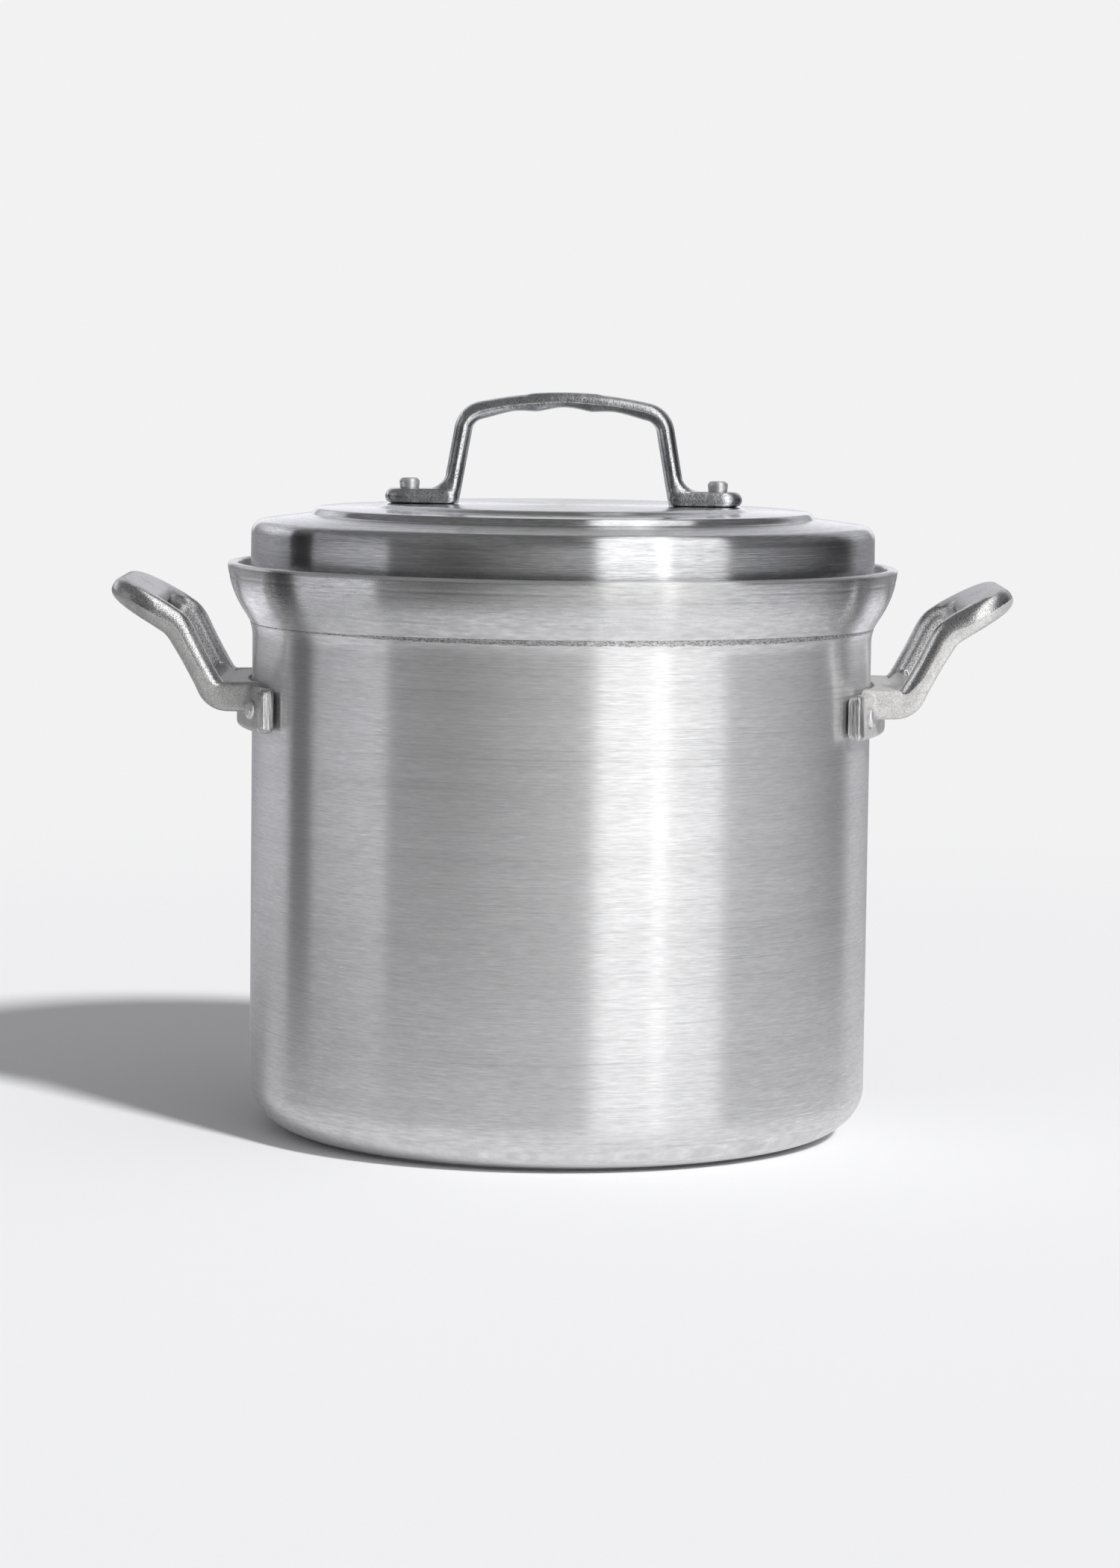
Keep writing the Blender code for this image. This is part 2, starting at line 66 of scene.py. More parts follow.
# Lid
SHEET = 2.5
SKIRT_R = 125.0
SKIRT_BOTTOM_Z = 211.9
SKIRT_TAPER = 0.3
SKIRT_CHAMFER = 0.5
SHOULDER_Z = 238.5
SHOULDER_HIGH = 5.5
SHOULDER_DEEP = 4.5
SHOULDER_TURN = math.radians(82)
OUTER_RING_Z = 246.3
MIDDLE_R = 102.0
MIDDLE_FOOT_R = MIDDLE_R - 0.4
MIDDLE_EDGE_R = MIDDLE_R - 3.7
MIDDLE_Z = 249.1
TOP_R = 75.0
TOP_FOOT_R = TOP_R + 1.2
TOP_EDGE_R = TOP_R - 4.4
TOP_Z = 251.0

# Bow handle
FOOT_Z = 251.02
FOOT_THICK = 5.98
FOOT_END_X = 71.5
FOOT_HALF_Y = 8.5
FOOT_INNER_X = 42.0
FOOT_CORNER_R = 4.0
FOOT_LOW_EDGE = 2.4
FOOT_HIGH_EDGE = 3.4
LEG_LEAN = math.radians(9.9)
CROWN_X = 33.5
CROWN_R = 155.0
CROWN_Z = 292.05
BOW_CORNER_R = 9.0
BOW_HALF_T = 3.55
LEG_HALF_T = 3.6
BOW_HALF_Y = 6.5
LEG_FILLET = 6.5
FILLET_SPLAY = 1.2
BOW_SECTION = (0.95, 0.88)
FILLET_SECTION = (0.8, 0.8)
PARTING_HIGH = 0.18
PARTING_HALF = 0.14
SCALLOP_PITCH = 22.6
SCALLOP_DEPTH = 1.3
PAD_HALF_X = 15.5
PAD_HALF_Y = 4.0
PAD_HIGH = 0.32
PAD_EDGE_X = 3.0
PAD_EDGE_Y = 1.2
LID_RIVET_X = 61.7
LID_RIVET_R = 4.05
LID_RIVET_H = 4.1
LID_SHANK = 2.5

# Loop handles
TIP_X = 177.8
BASE_Z = 175.4
KNEE_X = 136.2
KNEE_R = 7.5
RISE = math.radians(61.5)
BEND_X = 151.7
BEND_R = 16.0
GRIP_SLOPE = math.radians(29.5)
ROOT_X = 117.0
ARM_OUT_Y = 43.5
ARM_IN_Y = 34.5
GRIP_WIDE = 20.0
GRIP_CORNER_OUT = 20.0
GRIP_CORNER_IN = 8.0
THICK_ROOT = 12.0
THICK_ARM = 9.8
THICK_BEND = 10.8
THICK_TIP = 10.6
WEB_S = 24.5
WEB_SPLAY = 3.5
WEB_EDGE = 3.0
WEB_SINK = 1.6
WEB_GAP_TOP, WEB_GAP_LOW = 0.35, 0.5
BEAD_S, BEAD_RUN = 14.0, 10.0
GRIP_BACK, GRIP_RUN = 30.0, 14.0
MARK_HALF_S = 4.2
MARK_HALF_Y = 8.0
MARK_HIGH = 0.4
FLANGE_X = -6.7
FLANGE_IN_R = 131.0
FLANGE_THICK = 5.7
FLANGE_LOW = 162.0
FLANGE_HIGH = 179.7
FLANGE_ANGLE = math.radians(25.3)
FLANGE_CORNER_R = 1.8
FLANGE_END_R = 2.2
RIVET_ANGLE = math.radians(21.8)
RIVET_Z = 170.8
RIVET_R = 3.8
RIVET_H = 2.1
RIVET_SHANK = 2.4
INNER_HEAD_R = 4.6
INNER_HEAD_H = 1.6
INNER_HEAD_RIM = 0.3
HEAD_EDGE_R = 1.7
HEAD_DOME = 0.18

# Fineness of the meshes
SPIN = 256
RIVET_SPIN = 64
BOW_VOXEL, BOW_RELAX = 0.36, 5
LOOP_VOXEL, LOOP_RELAX = 0.46, 4
SHARP = 50


# ---------------- mesh helpers

def add(name, data):
    """A new object in the scene."""
    obj = bpy.data.objects.new(name, data)
    bpy.context.scene.collection.objects.link(obj)
    return obj


def make_object(name, points, faces):
    """An object in metres from points in millimetres."""
    mesh = bpy.data.meshes.new(name)
    mesh.from_pydata([tuple(p) for p in np.asarray(points, float) * MM], [], faces)
    mesh.validate()
    mesh.update()
    return add(name, mesh)


def smooth(obj, sharp_degrees=None):
    """Smooth shading, with an edge that turns by more than the angle kept sharp."""
    obj.data.shade_smooth()
    if sharp_degrees is not None:
        obj.data.set_sharp_from_angle(angle=math.radians(sharp_degrees))


def arc(centre, radius, start, end, steps):
    """Points on an arc, both ends included, angles in radians."""
    turns = np.linspace(start, end, steps + 1)
    return [(centre[0] + radius * math.cos(t), centre[1] + radius * math.sin(t)) for t in turns]


def spun(profile, turns=SPIN):
    """Points and faces of an (r, z) profile turned round Z. Both its ends are on the axis."""
    points, faces, rings = [], [], []
    angles = np.linspace(0, 2 * math.pi, turns, endpoint=False)
    for r, z in profile:
        first = len(points)
        if r < 1e-6:
            points.append((0, 0, z))
            rings.append([first] * turns)
        else:
            points += [(r * math.cos(a), r * math.sin(a), z) for a in angles]
            rings.append(list(range(first, first + turns)))
    for low, high in zip(rings, rings[1:]):
        for i in range(turns):
            j = (i + 1) % turns
            face = [low[i], low[j], high[j], high[i]]
            faces.append([v for k, v in enumerate(face) if v not in face[:k]])
    return points, faces


def skinned(rings):
    """Points and faces of a closed tube through equal rings, with capped ends."""
    count = len(rings[0])
    points = [p for ring in rings for p in ring]
    faces = []
    for k in range(len(rings) - 1):
        for i in range(count):
            j = (i + 1) % count
            a, b = k * count, (k + 1) * count
            faces.append([a + i, a + j, b + j, b + i])
    faces.append(list(range(count))[::-1])
    last = (len(rings) - 1) * count
    faces.append([last + i for i in range(count)])
    return points, faces


def fused(name, shells, voxel, relax):
    """One skin around overlapping shells: a voxel remesh in millimetres, then relaxed."""
    points, faces = [], []
    for shell_points, shell_faces in shells:
        first = len(points)
        points += [tuple(p) for p in shell_points]
        faces += [[first + i for i in face] for face in shell_faces]
    raw = make_object(name + "_raw", points, faces)
    outward(raw)
    remesh = raw.modifiers.new("skin", "REMESH")
    remesh.mode = "VOXEL"
    remesh.voxel_size = voxel * MM
    soften = raw.modifiers.new("relax", "SMOOTH")
    soften.factor = 0.5
    soften.iterations = relax
    graph = bpy.context.evaluated_depsgraph_get()
    mesh = bpy.data.meshes.new_from_object(raw.evaluated_get(graph))
    mesh.name = name
    obj = add(name, mesh)
    bpy.data.objects.remove(raw)
    smooth(obj)
    return obj


def outward(obj):
    """Turns every shell's faces outwards."""
    bm = bmesh.new()
    bm.from_mesh(obj.data)
    bmesh.ops.recalc_face_normals(bm, faces=bm.faces)
    bm.to_mesh(obj.data)
    bm.free()


def ease(t):
    """0 to 1 with a gentle start and end."""
    t = min(max(t, 0.0), 1.0)
    return t * t * (3 - 2 * t)


def squarish(count, power_up, power_down):
    """Section points (u, v) of an oval: the lower a half's power, the squarer it is."""
    found = []
    for i in range(count):
        turn = 2 * math.pi * (i + 0.5) / count
        power = power_up if math.sin(turn) > 0 else power_down
        u = math.copysign(abs(math.cos(turn)) ** power, math.cos(turn))
        v = math.copysign(abs(math.sin(turn)) ** power, math.sin(turn))
        found.append((u, v))
    return found


# ---------------- shapes

def flare(out_r, back_r, start_r, steps):
    """The wall from the cylinder through the neck to the rim, going up."""
    first = arc((start_r + out_r, FLARE_START_Z), out_r, math.pi, math.pi - FLARE_STEEP, steps)
    end_r, end_z = first[-1]
    centre = (end_r - back_r * math.cos(FLARE_STEEP), end_z + back_r * math.sin(FLARE_STEEP))
    return first + arc(centre, back_r, -FLARE_STEEP, -FLARE_END, steps)[1:]


def base_corner(inner, low, radius, height, steps):
    """A quarter ellipse from the flat base out to the wall."""
    turns = np.linspace(0, QUARTER, steps + 1)
    return [(inner + radius * math.sin(t), low + height * (1 - math.cos(t))) for t in turns]


def grooved(profile, low, high, depth):
    """Cuts a shallow groove between two heights into an upright profile."""
    found = []
    for r, z in profile:
        part = (z - low) / (high - low)
        cut = depth * math.sin(math.pi * part) if 0 < part < 1 else 0.0
        found.append((r - cut, z))
    return found


def pot_shell():
    inner = OUTER_R - BASE_CORNER_R
    outside = [(0, 0), (inner * 0.5, 0), (inner - 1.0, 0)]
    outside += base_corner(inner, 0, BASE_CORNER_R, BASE_CORNER_H, 20)
    outside += [(OUTER_R, z) for z in np.linspace(BASE_CORNER_H, FLARE_START_Z, 24)[1:-1]]
    wall = flare(FLARE_OUT_R, FLARE_BACK_R, OUTER_R, 40)
    wall = grooved(grooved(wall, *NECK_GROOVE), *COLLAR_GROOVE)
    outside += wall
    rim_out = wall[-1][0]
    inside = flare(FLARE_OUT_R + WALL, FLARE_BACK_R - WALL, OUTER_R - WALL, 24)
    rim_in = inside[-1][0]
    rim = arc((rim_out - RIM_OUT_EDGE, RIM_TOP_Z - RIM_OUT_EDGE), RIM_OUT_EDGE, 0, QUARTER, 6)
    rim += arc((rim_in + RIM_IN_EDGE, RIM_TOP_Z - RIM_IN_EDGE), RIM_IN_EDGE, QUARTER, math.pi, 5)
    hollow = base_corner(inner, FLOOR_THICK, BASE_CORNER_R - WALL, BASE_CORNER_H - FLOOR_THICK, 14)
    hollow += [(OUTER_R - WALL, z) for z in np.linspace(BASE_CORNER_H, FLARE_START_Z, 12)[1:-1]]
    floor = [(inner * 0.5, FLOOR_THICK), (0, FLOOR_THICK)]
    profile = outside + rim[1:] + inside[::-1] + hollow[::-1] + floor
    obj = make_object("pot_body_turned", *spun(profile))
    smooth(obj, SHARP)
    return obj


def step_curve(r_low, z_low, r_high, z_high, steps=12):
    """An S-shaped step of a spun sheet, from its foot in to its top edge."""
    parts = [i / steps for i in range(steps + 1)]
    return [(r_low + (r_high - r_low) * t, z_low + (z_high - z_low) * ease(t)) for t in parts]


def thickened(outside):
    """The inside of a sheet from its outside profile, which runs in from the skirt."""
    inside = []
    for (r0, z0), (r1, z1), (r2, z2) in zip(outside, outside[1:], outside[2:]):
        run = Vector((r2 - r0, z2 - z0)).normalized()
        inside.append((max(r1 - run.y * SHEET, 0.5), z1 + run.x * SHEET))
    inside = [p for p in inside if p[1] > SKIRT_BOTTOM_Z + 0.4]
    return [(SKIRT_R - SHEET + 0.4, SKIRT_BOTTOM_Z)] + inside


def lid_shell():
    skirt = [(SKIRT_R - SKIRT_CHAMFER, SKIRT_BOTTOM_Z), (SKIRT_R, SKIRT_BOTTOM_Z + SKIRT_CHAMFER)]
    skirt += [
        (SKIRT_R - SKIRT_TAPER * t, SKIRT_BOTTOM_Z + 1 + (SHOULDER_Z - SKIRT_BOTTOM_Z - 1) * t)
        for t in np.linspace(0, 1, 10)
    ]
    top_r = skirt[-1][0] - SHOULDER_DEEP
    corner = [
        (top_r + SHOULDER_DEEP * math.cos(t), SHOULDER_Z + SHOULDER_HIGH * math.sin(t))
        for t in np.linspace(0, SHOULDER_TURN, 17)[1:]
    ]
    ring_r, ring_z = corner[-1]
    ring = [
        (ring_r + (MIDDLE_R + 0.4 - ring_r) * t, ring_z + (OUTER_RING_Z - ring_z) * t)
        for t in np.linspace(0, 1, 14)[1:]
    ]
    middle = step_curve(MIDDLE_FOOT_R, OUTER_RING_Z + 0.05, MIDDLE_EDGE_R, MIDDLE_Z)
    flat = [(MIDDLE_R - 12.0, MIDDLE_Z + 0.12), (TOP_R + 6.0, MIDDLE_Z + 0.1)]
    top = step_curve(TOP_FOOT_R, MIDDLE_Z + 0.05, TOP_EDGE_R, TOP_Z)
    centre = [(TOP_R - 14.0, TOP_Z), (40.0, TOP_Z), (20.0, TOP_Z), (0, TOP_Z)]
    outside = skirt + corner + ring + middle + flat + top + centre
    profile = [(0, TOP_Z - SHEET)] + thickened(outside)[::-1] + outside
    obj = make_object("lid_spun", *spun(profile))
    smooth(obj, SHARP)
    return obj


def bow_stations():
    """(x, z, turn, half thickness) along half of the bow, from its middle to the right foot."""
    half = []
    for x in np.linspace(0, CROWN_X, 60):
        z = CROWN_Z - (CROWN_R - math.sqrt(CROWN_R**2 - x**2))
        half.append((x, z, -math.asin(x / CROWN_R), BOW_HALF_T))
    start_x, start_z, start_turn = half[-1][:3]
    end_turn = LEG_LEAN - QUARTER
    for t in np.linspace(0, 1, 17)[1:]:
        turn = start_turn + (end_turn - start_turn) * t
        x = start_x + BOW_CORNER_R * (math.sin(-turn) - math.sin(-start_turn))
        z = start_z - BOW_CORNER_R * (math.cos(-start_turn) - math.cos(-turn))
        half.append((x, z, turn, BOW_HALF_T + (LEG_HALF_T - BOW_HALF_T) * t))
    x0, z0, turn = half[-1][:3]
    run = (z0 - FOOT_Z - 0.6) / math.cos(LEG_LEAN)
    for t in np.linspace(0, 1, 31)[1:]:
        x = x0 + run * t * math.sin(LEG_LEAN)
        half.append((x, z0 - run * t * math.cos(LEG_LEAN), turn, LEG_HALF_T))
    return half


def scallop(x):
    """How deep the finger grips hollow the bow's underside at x: three, with pointed crests."""
    if abs(x) > 1.5 * SCALLOP_PITCH:
        return 0.0
    fade = 1 - 0.6 * ease((abs(x) - 0.5 * SCALLOP_PITCH) / SCALLOP_PITCH)
    return SCALLOP_DEPTH * fade * abs(math.cos(math.pi * x / SCALLOP_PITCH)) ** 1.4


def bow_tube(half):
    """The bow's bar and legs, with the raised pad, the finger grips and the parting line."""
    stations = [(-x, z, -turn, t) for x, z, turn, t in half[:0:-1]] + half
    rings = []
    for x, z, turn, thick in stations:
        ring = []
        for u, v in squarish(72, *BOW_SECTION):
            high = v * (thick - (scallop(x) if v < 0 else 0.0))
            if v > 0:
                lengthways = ease((PAD_HALF_X - abs(x)) / PAD_EDGE_X)
                sideways = ease((PAD_HALF_Y - abs(u) * BOW_HALF_Y) / PAD_EDGE_Y)
                high += PAD_HIGH * (lengthways * sideways)
            wide = BOW_HALF_Y + PARTING_HIGH * (1 - ease(abs(v) / PARTING_HALF))
            ring.append((x - high * math.sin(turn), u * wide, z + high * math.cos(turn)))
        rings.append(ring)
    return skinned(rings)


def bow_shell():
    half = bow_stations()
    leg_x, leg_z = half[-1][:2]
    shells = [bow_tube(half)]
    for side in (-1, 1):
        shells += [foot_shell(side), fillet_shell(side, leg_x, leg_z)]
    return fused("lid_handle_cast", shells, BOW_VOXEL, BOW_RELAX)


def foot_shell(side):
    """A pillow-edged foot, round at its outer end."""
    plan = arc((FOOT_END_X - FOOT_HALF_Y, 0), FOOT_HALF_Y, -QUARTER, QUARTER, 28)
    corner_x, corner_y = FOOT_INNER_X + FOOT_CORNER_R, FOOT_HALF_Y - FOOT_CORNER_R
    plan += arc((corner_x, corner_y), FOOT_CORNER_R, QUARTER, math.pi, 8)
    plan += arc((corner_x, -corner_y), FOOT_CORNER_R, math.pi, 1.5 * math.pi, 8)
    centre = 0.5 * (FOOT_END_X + FOOT_INNER_X)
    rings = []
    for z, inset in foot_edge():
        ring = []
        for x, y in plan:
            away = Vector((x - centre, y))
            away = away * (1 - inset / away.length)
            ring.append((side * (centre + away.x), away.y, FOOT_Z + z))
        rings.append(ring)
    return skinned(rings)


def fillet_shell(side, leg_x, leg_z):
    """The hollow sweep that widens a leg outwards into its foot."""
    foot_top = FOOT_Z + FOOT_THICK
    sweep = [
        (LEG_FILLET * (1 - math.cos(t)), LEG_FILLET * (1 - math.sin(t)))
        for t in np.linspace(0.1, QUARTER, 16)
    ]
    sweep.append((LEG_FILLET, -2.0))
    rings = []
    for out, high in sweep:
        z = foot_top + high
        middle = leg_x - (z - leg_z) * math.tan(LEG_LEAN)
        wide = BOW_HALF_Y + FILLET_SPLAY * (out / LEG_FILLET) ** 2
        ring = []
        for u, v in squarish(48, *FILLET_SECTION):
            reach = LEG_HALF_T - 0.2 + (out if v > 0 else 0.0)
            ring.append((side * (middle + v * reach), u * wide, z))
        rings.append(ring)
    return skinned(rings)


def foot_edge():
    """(height, inset) steps up the rounded edge of a foot."""
    low_r, high_r = FOOT_LOW_EDGE, FOOT_HIGH_EDGE
    low = [
        (low_r - low_r * math.cos(t), low_r - low_r * math.sin(t))
        for t in np.linspace(0, QUARTER, 7)
    ]
    high = [
        (FOOT_THICK - high_r + high_r * math.sin(t), high_r - high_r * math.cos(t))
        for t in np.linspace(0, QUARTER, 11)
    ]
    return low + high


def loop_runs():
    """(length, turned angle) of each run of a loop handle's centre line."""
    knee_t = KNEE_R * math.tan(RISE / 2)
    bend_t = BEND_R * math.tan((RISE - GRIP_SLOPE) / 2)
    bend_z = BASE_Z + (BEND_X - KNEE_X) * math.tan(RISE)
    rise = math.hypot(BEND_X - KNEE_X, bend_z - BASE_Z) - knee_t - bend_t
    grip = (TIP_X - BEND_X) / math.cos(GRIP_SLOPE) - bend_t
    return [
        (KNEE_X - knee_t - ROOT_X, 0.0),
        (KNEE_R * RISE, RISE),
        (rise, 0.0),
        (BEND_R * (RISE - GRIP_SLOPE), GRIP_SLOPE - RISE),
        (grip, 0.0),
    ]


LOOP_RUNS = loop_runs()
LOOP_LENGTH = sum(length for length, _ in LOOP_RUNS)


def loop_point(s):
    """(x, z, slope) of the centre line at distance s along it."""
    x, z, slope = ROOT_X, BASE_Z, 0.0
    for index, (length, turned) in enumerate(LOOP_RUNS):
        step = s if index == len(LOOP_RUNS) - 1 else min(s, length)
        if turned:
            radius = length / turned
            new = slope + step / radius
            x += radius * (math.sin(new) - math.sin(slope))
            z += radius * (math.cos(slope) - math.cos(new))
            slope = new
        else:
            x += step * math.cos(slope)
            z += step * math.sin(slope)
        s -= step
        if s <= 1e-9:
            break
    return x, z, slope


def loop_thickness(s):
    """Height of the loop's section, s along its centre line."""
    bend = LOOP_LENGTH - 31.0
    marks = [(0.0, THICK_ROOT), (13.0, THICK_ROOT - 0.3), (28.0, THICK_ARM)]
    marks += [(bend - 14.0, THICK_ARM), (bend, THICK_BEND), (LOOP_LENGTH, THICK_TIP)]
    for (s1, t1), (s2, t2) in zip(marks, marks[1:]):
        if s <= s2:
            return t1 + (t2 - t1) * ease((s - s1) / (s2 - s1))
    return THICK_TIP


def bent(s, y, high):
    """A point s along the centre line, y across and high above it, kept clear of the pot's wall."""
    x, z, slope = loop_point(s)
    x -= high * math.sin(slope)
    z += high * math.cos(slope)
    reach = math.hypot(x - FLANGE_X, y)
    least = FLANGE_IN_R + 1.0
    if reach < least:
        x = FLANGE_X + (x - FLANGE_X) * least / reach
        y = y * least / reach
    return (x, y, z)


def loop_pairs():
    """Outer and inner edge points (s, y) of the loop laid flat, from one root to the other."""
    arm_end = LOOP_LENGTH - GRIP_WIDE - GRIP_CORNER_IN
    pairs = [((s, ARM_OUT_Y), (s, ARM_IN_Y)) for s in np.linspace(0, arm_end, 70)[:-1]]
    for turn in np.linspace(0, QUARTER, 25):
        pairs.append((
            (
                LOOP_LENGTH - GRIP_CORNER_OUT + GRIP_CORNER_OUT * math.sin(turn),
                ARM_OUT_Y - GRIP_CORNER_OUT + GRIP_CORNER_OUT * math.cos(turn),
            ),
            (
                arm_end + GRIP_CORNER_IN * math.sin(turn),
                ARM_IN_Y - GRIP_CORNER_IN + GRIP_CORNER_IN * math.cos(turn),
            ),
        ))
    for part in np.linspace(0, 1, 12)[1:]:
        pairs.append((
            (LOOP_LENGTH, (ARM_OUT_Y - GRIP_CORNER_OUT) * (1 - part)),
            (LOOP_LENGTH - GRIP_WIDE, (ARM_IN_Y - GRIP_CORNER_IN) * (1 - part)),
        ))
    return pairs + [((a, -b), (c, -d)) for (a, b), (c, d) in pairs[-2::-1]]


def web_shell():
    """The plate between the arms at their roots, with a thinned and rounded free edge."""
    rings = []
    for y in np.linspace(-ARM_IN_Y - 1.5, ARM_IN_Y + 1.5, 61):
        across = min(abs(y) / ARM_IN_Y, 1.0)
        end = WEB_S + WEB_SPLAY * across**6
        ring = []
        top, low = np.linspace(0, 1, 22), np.linspace(1, 0, 22)
        for sign, gap, parts in ((1, WEB_GAP_TOP, top), (-1, WEB_GAP_LOW, low)):
            for t in parts:
                s = end * t
                edge = math.sqrt(max(1 - max((s - end + WEB_EDGE) / WEB_EDGE, 0.0) ** 2, 0.0))
                sink = WEB_SINK * max((s - BEAD_S) / BEAD_RUN, 0.0) * across**6
                half = max((0.5 * loop_thickness(s) - gap) * edge - sink, 0.2)
                ring.append(bent(s, y, sign * half))
        rings.append(ring)
    return skinned(rings)


def loop_tube():
    """The loop's bar: squarish at its roots, rounder on the arms, with a low mark on the grip."""
    rings = []
    for (s1, y1), (s2, y2) in loop_pairs():
        middle = 0.5 * (s1 + s2)
        bead = ease((middle - BEAD_S) / BEAD_RUN)
        grip = ease((middle - LOOP_LENGTH + GRIP_BACK) / GRIP_RUN)
        ring = []
        for u, v in squarish(64, 0.42 + 0.5 * bead - 0.14 * grip, 0.42 + 0.3 * grip):
            s = middle + 0.5 * (s1 - s2) * u
            y = 0.5 * (y1 + y2) + 0.5 * (y1 - y2) * u
            high = 0.5 * loop_thickness(s) * v
            if v > 0.5:
                off = s - LOOP_LENGTH + 0.5 * GRIP_WIDE
                oval = math.hypot(off / MARK_HALF_S, y / MARK_HALF_Y)
                high += MARK_HIGH * ease((1 - oval) * 3.0)
            ring.append(bent(s, y, high))
        rings.append(ring)
    return skinned(rings)


def flange_travel(length):
    """Distances along a flange: close together at its two rounded ends."""
    rounded = FLANGE_END_R * (1 - np.cos(np.linspace(0.05, QUARTER, 8)))
    straight = np.linspace(FLANGE_END_R, length - FLANGE_END_R, 80)[1:-1]
    return np.concatenate([rounded, straight, length - rounded[::-1]])


def flange_shell():
    """The curved plate against the pot's wall, with soft edges and rounded ends."""
    half_t, half_z = 0.5 * FLANGE_THICK, 0.5 * (FLANGE_HIGH - FLANGE_LOW)
    mid_r, mid_z = FLANGE_IN_R + half_t, 0.5 * (FLANGE_HIGH + FLANGE_LOW)
    length = 2 * FLANGE_ANGLE * mid_r
    rings = []
    for d in flange_travel(length):
        turn = d / mid_r - FLANGE_ANGLE
        edge = min(d, length - d, FLANGE_END_R)
        shrink = FLANGE_END_R - math.sqrt(max(FLANGE_END_R**2 - (FLANGE_END_R - edge) ** 2, 0.0))
        ring = []
        for quarter, (side_r, side_z) in enumerate(((1, 1), (-1, 1), (-1, -1), (1, -1))):
            start = quarter * QUARTER
            for r, z in arc((0, 0), FLANGE_CORNER_R, start, start + QUARTER, 5):
                out = mid_r + side_r * (half_t - FLANGE_CORNER_R - 0.4 * shrink) + r
                high = mid_z + side_z * (half_z - FLANGE_CORNER_R - shrink) + z
                ring.append((FLANGE_X + out * math.cos(turn), out * math.sin(turn), high))
        rings.append(ring)
    return skinned(rings)


def loop_shell(name):
    obj = fused(name, [loop_tube(), web_shell(), flange_shell()], LOOP_VOXEL, LOOP_RELAX)
    mark_finishes(obj)
    return obj


def rising(value, start, run):
    """0 up to start, then 1 from start plus run on, for arrays."""
    return np.clip((value - start) / run, 0, 1)


def along_loop(points):
    """(distance along the nearest centre line, height above it) of every point of a loop."""
    along = np.linspace(0, LOOP_LENGTH, 260)
    line = np.array([loop_point(s) for s in along])
    best = np.full(len(points), 1e9)
    pick = np.zeros(len(points), int)
    for k, (x, z, _) in enumerate(line):
        away = (points[:, 0] - x) ** 2 + (points[:, 2] - z) ** 2
        nearer = away < best
        best[nearer] = away[nearer]
        pick[nearer] = k
    x, z, slope = line[pick].T
    high = -(points[:, 0] - x) * np.sin(slope) + (points[:, 2] - z) * np.cos(slope)
    return along[pick], high


def mark_finishes(obj):
    """Point values on a loop handle, each from 0 to 1.

    buffed is the polished upper half of the arms, ground the flange's ends, and skin_top the
    grip's upper face, which keeps its cast skin.
    """
    points = np.empty(len(obj.data.vertices) * 3, np.float64)
    obj.data.vertices.foreach_get("co", points)
    points = points.reshape(-1, 3) / MM
    s, high = along_loop(points)
    across = np.abs(points[:, 1])
    grip = rising(s, LOOP_LENGTH - 27.0, 4.0)
    top_face = grip * rising(high, 3.4, 1.0) * rising(-across, -38.5, 2.0)
    rise = rising(s, 19.0, 12.0)
    inner_side = rising(-across, -39.0, 2.0) * (1 - grip)
    # The buffed part's lower edge drops along the arm, and further on the arm's inner side
    lower = 4.6 - 4.9 * np.sqrt(rise) - 0.8 * grip - 3.6 * rise * inner_side
    buffed = np.clip((high - lower) / 0.9 + 0.5, 0, 1) * rising(s, 19.5, 1.5)
    buffed *= np.clip((across - 27.0) / 4.0 + grip, 0, 1) * (1 - top_face)
    buffed *= 1 - rising(-s, -WEB_S - 2.5, 2.0) * rising(-across, -ARM_IN_Y - 1.2, 1.0)
    reach = np.abs(np.arctan2(points[:, 1], points[:, 0] - FLANGE_X))
    ground = rising(reach, FLANGE_ANGLE - 0.035, 0.01)
    for name, values in (("buffed", buffed), ("ground", ground), ("skin_top", top_face)):
        layer = obj.data.attributes.new(name, "FLOAT", "POINT")
        layer.data.foreach_set("value", values.astype(np.float32))


def rivet_shell(name, shank, inner_face, outer_face, head_r, head_h):
    """A rivet along Z with a low inside head and a rounded outside head."""
    profile = [(0, inner_face - INNER_HEAD_H)]
    for t in np.linspace(0.15, 1, 8):
        turn = t * QUARTER
        profile.append((
            INNER_HEAD_R * math.sin(turn),
            inner_face - INNER_HEAD_RIM - (INNER_HEAD_H - INNER_HEAD_RIM) * math.cos(turn),
        ))
    top = outer_face + head_h
    flat = head_r - HEAD_EDGE_R
    profile += [(INNER_HEAD_R, inner_face), (shank, inner_face)]
    profile += [(shank, outer_face), (head_r - 0.25, outer_face)]
    profile += arc((flat, top - HEAD_EDGE_R), HEAD_EDGE_R, -0.25, QUARTER, 9)
    profile += [(flat * t, top - HEAD_DOME * t * t) for t in (0.75, 0.5, 0.25)]
    profile.append((0, top))
    obj = make_object(name, *spun(profile, RIVET_SPIN))
    smooth(obj, SHARP)
    return obj


# ---------------- node helpers

NOISE_LOW, NOISE_HIGH = 0.3, 0.7
SMOOTH = "SMOOTHSTEP"


def node(tree, kind, inputs=None, **settings):
    made = tree.nodes.new(kind)
    for key, value in settings.items():
        setattr(made, key, value)
    for key, value in (inputs or {}).items():
        put(made.inputs[key], value)
    return made


def put(socket, value):
    """Links a node's output to a socket, or sets the socket to a plain value."""
    if isinstance(value, bpy.types.NodeSocket):
        socket.id_data.links.new(value, socket)
    else:
        socket.default_value = value


def joined(kind, inputs, **settings):
    """A node in the tree that its inputs come from."""
    sockets = (value for value in inputs.values() if isinstance(value, bpy.types.NodeSocket))
    return node(next(sockets).id_data, kind, inputs, **settings)


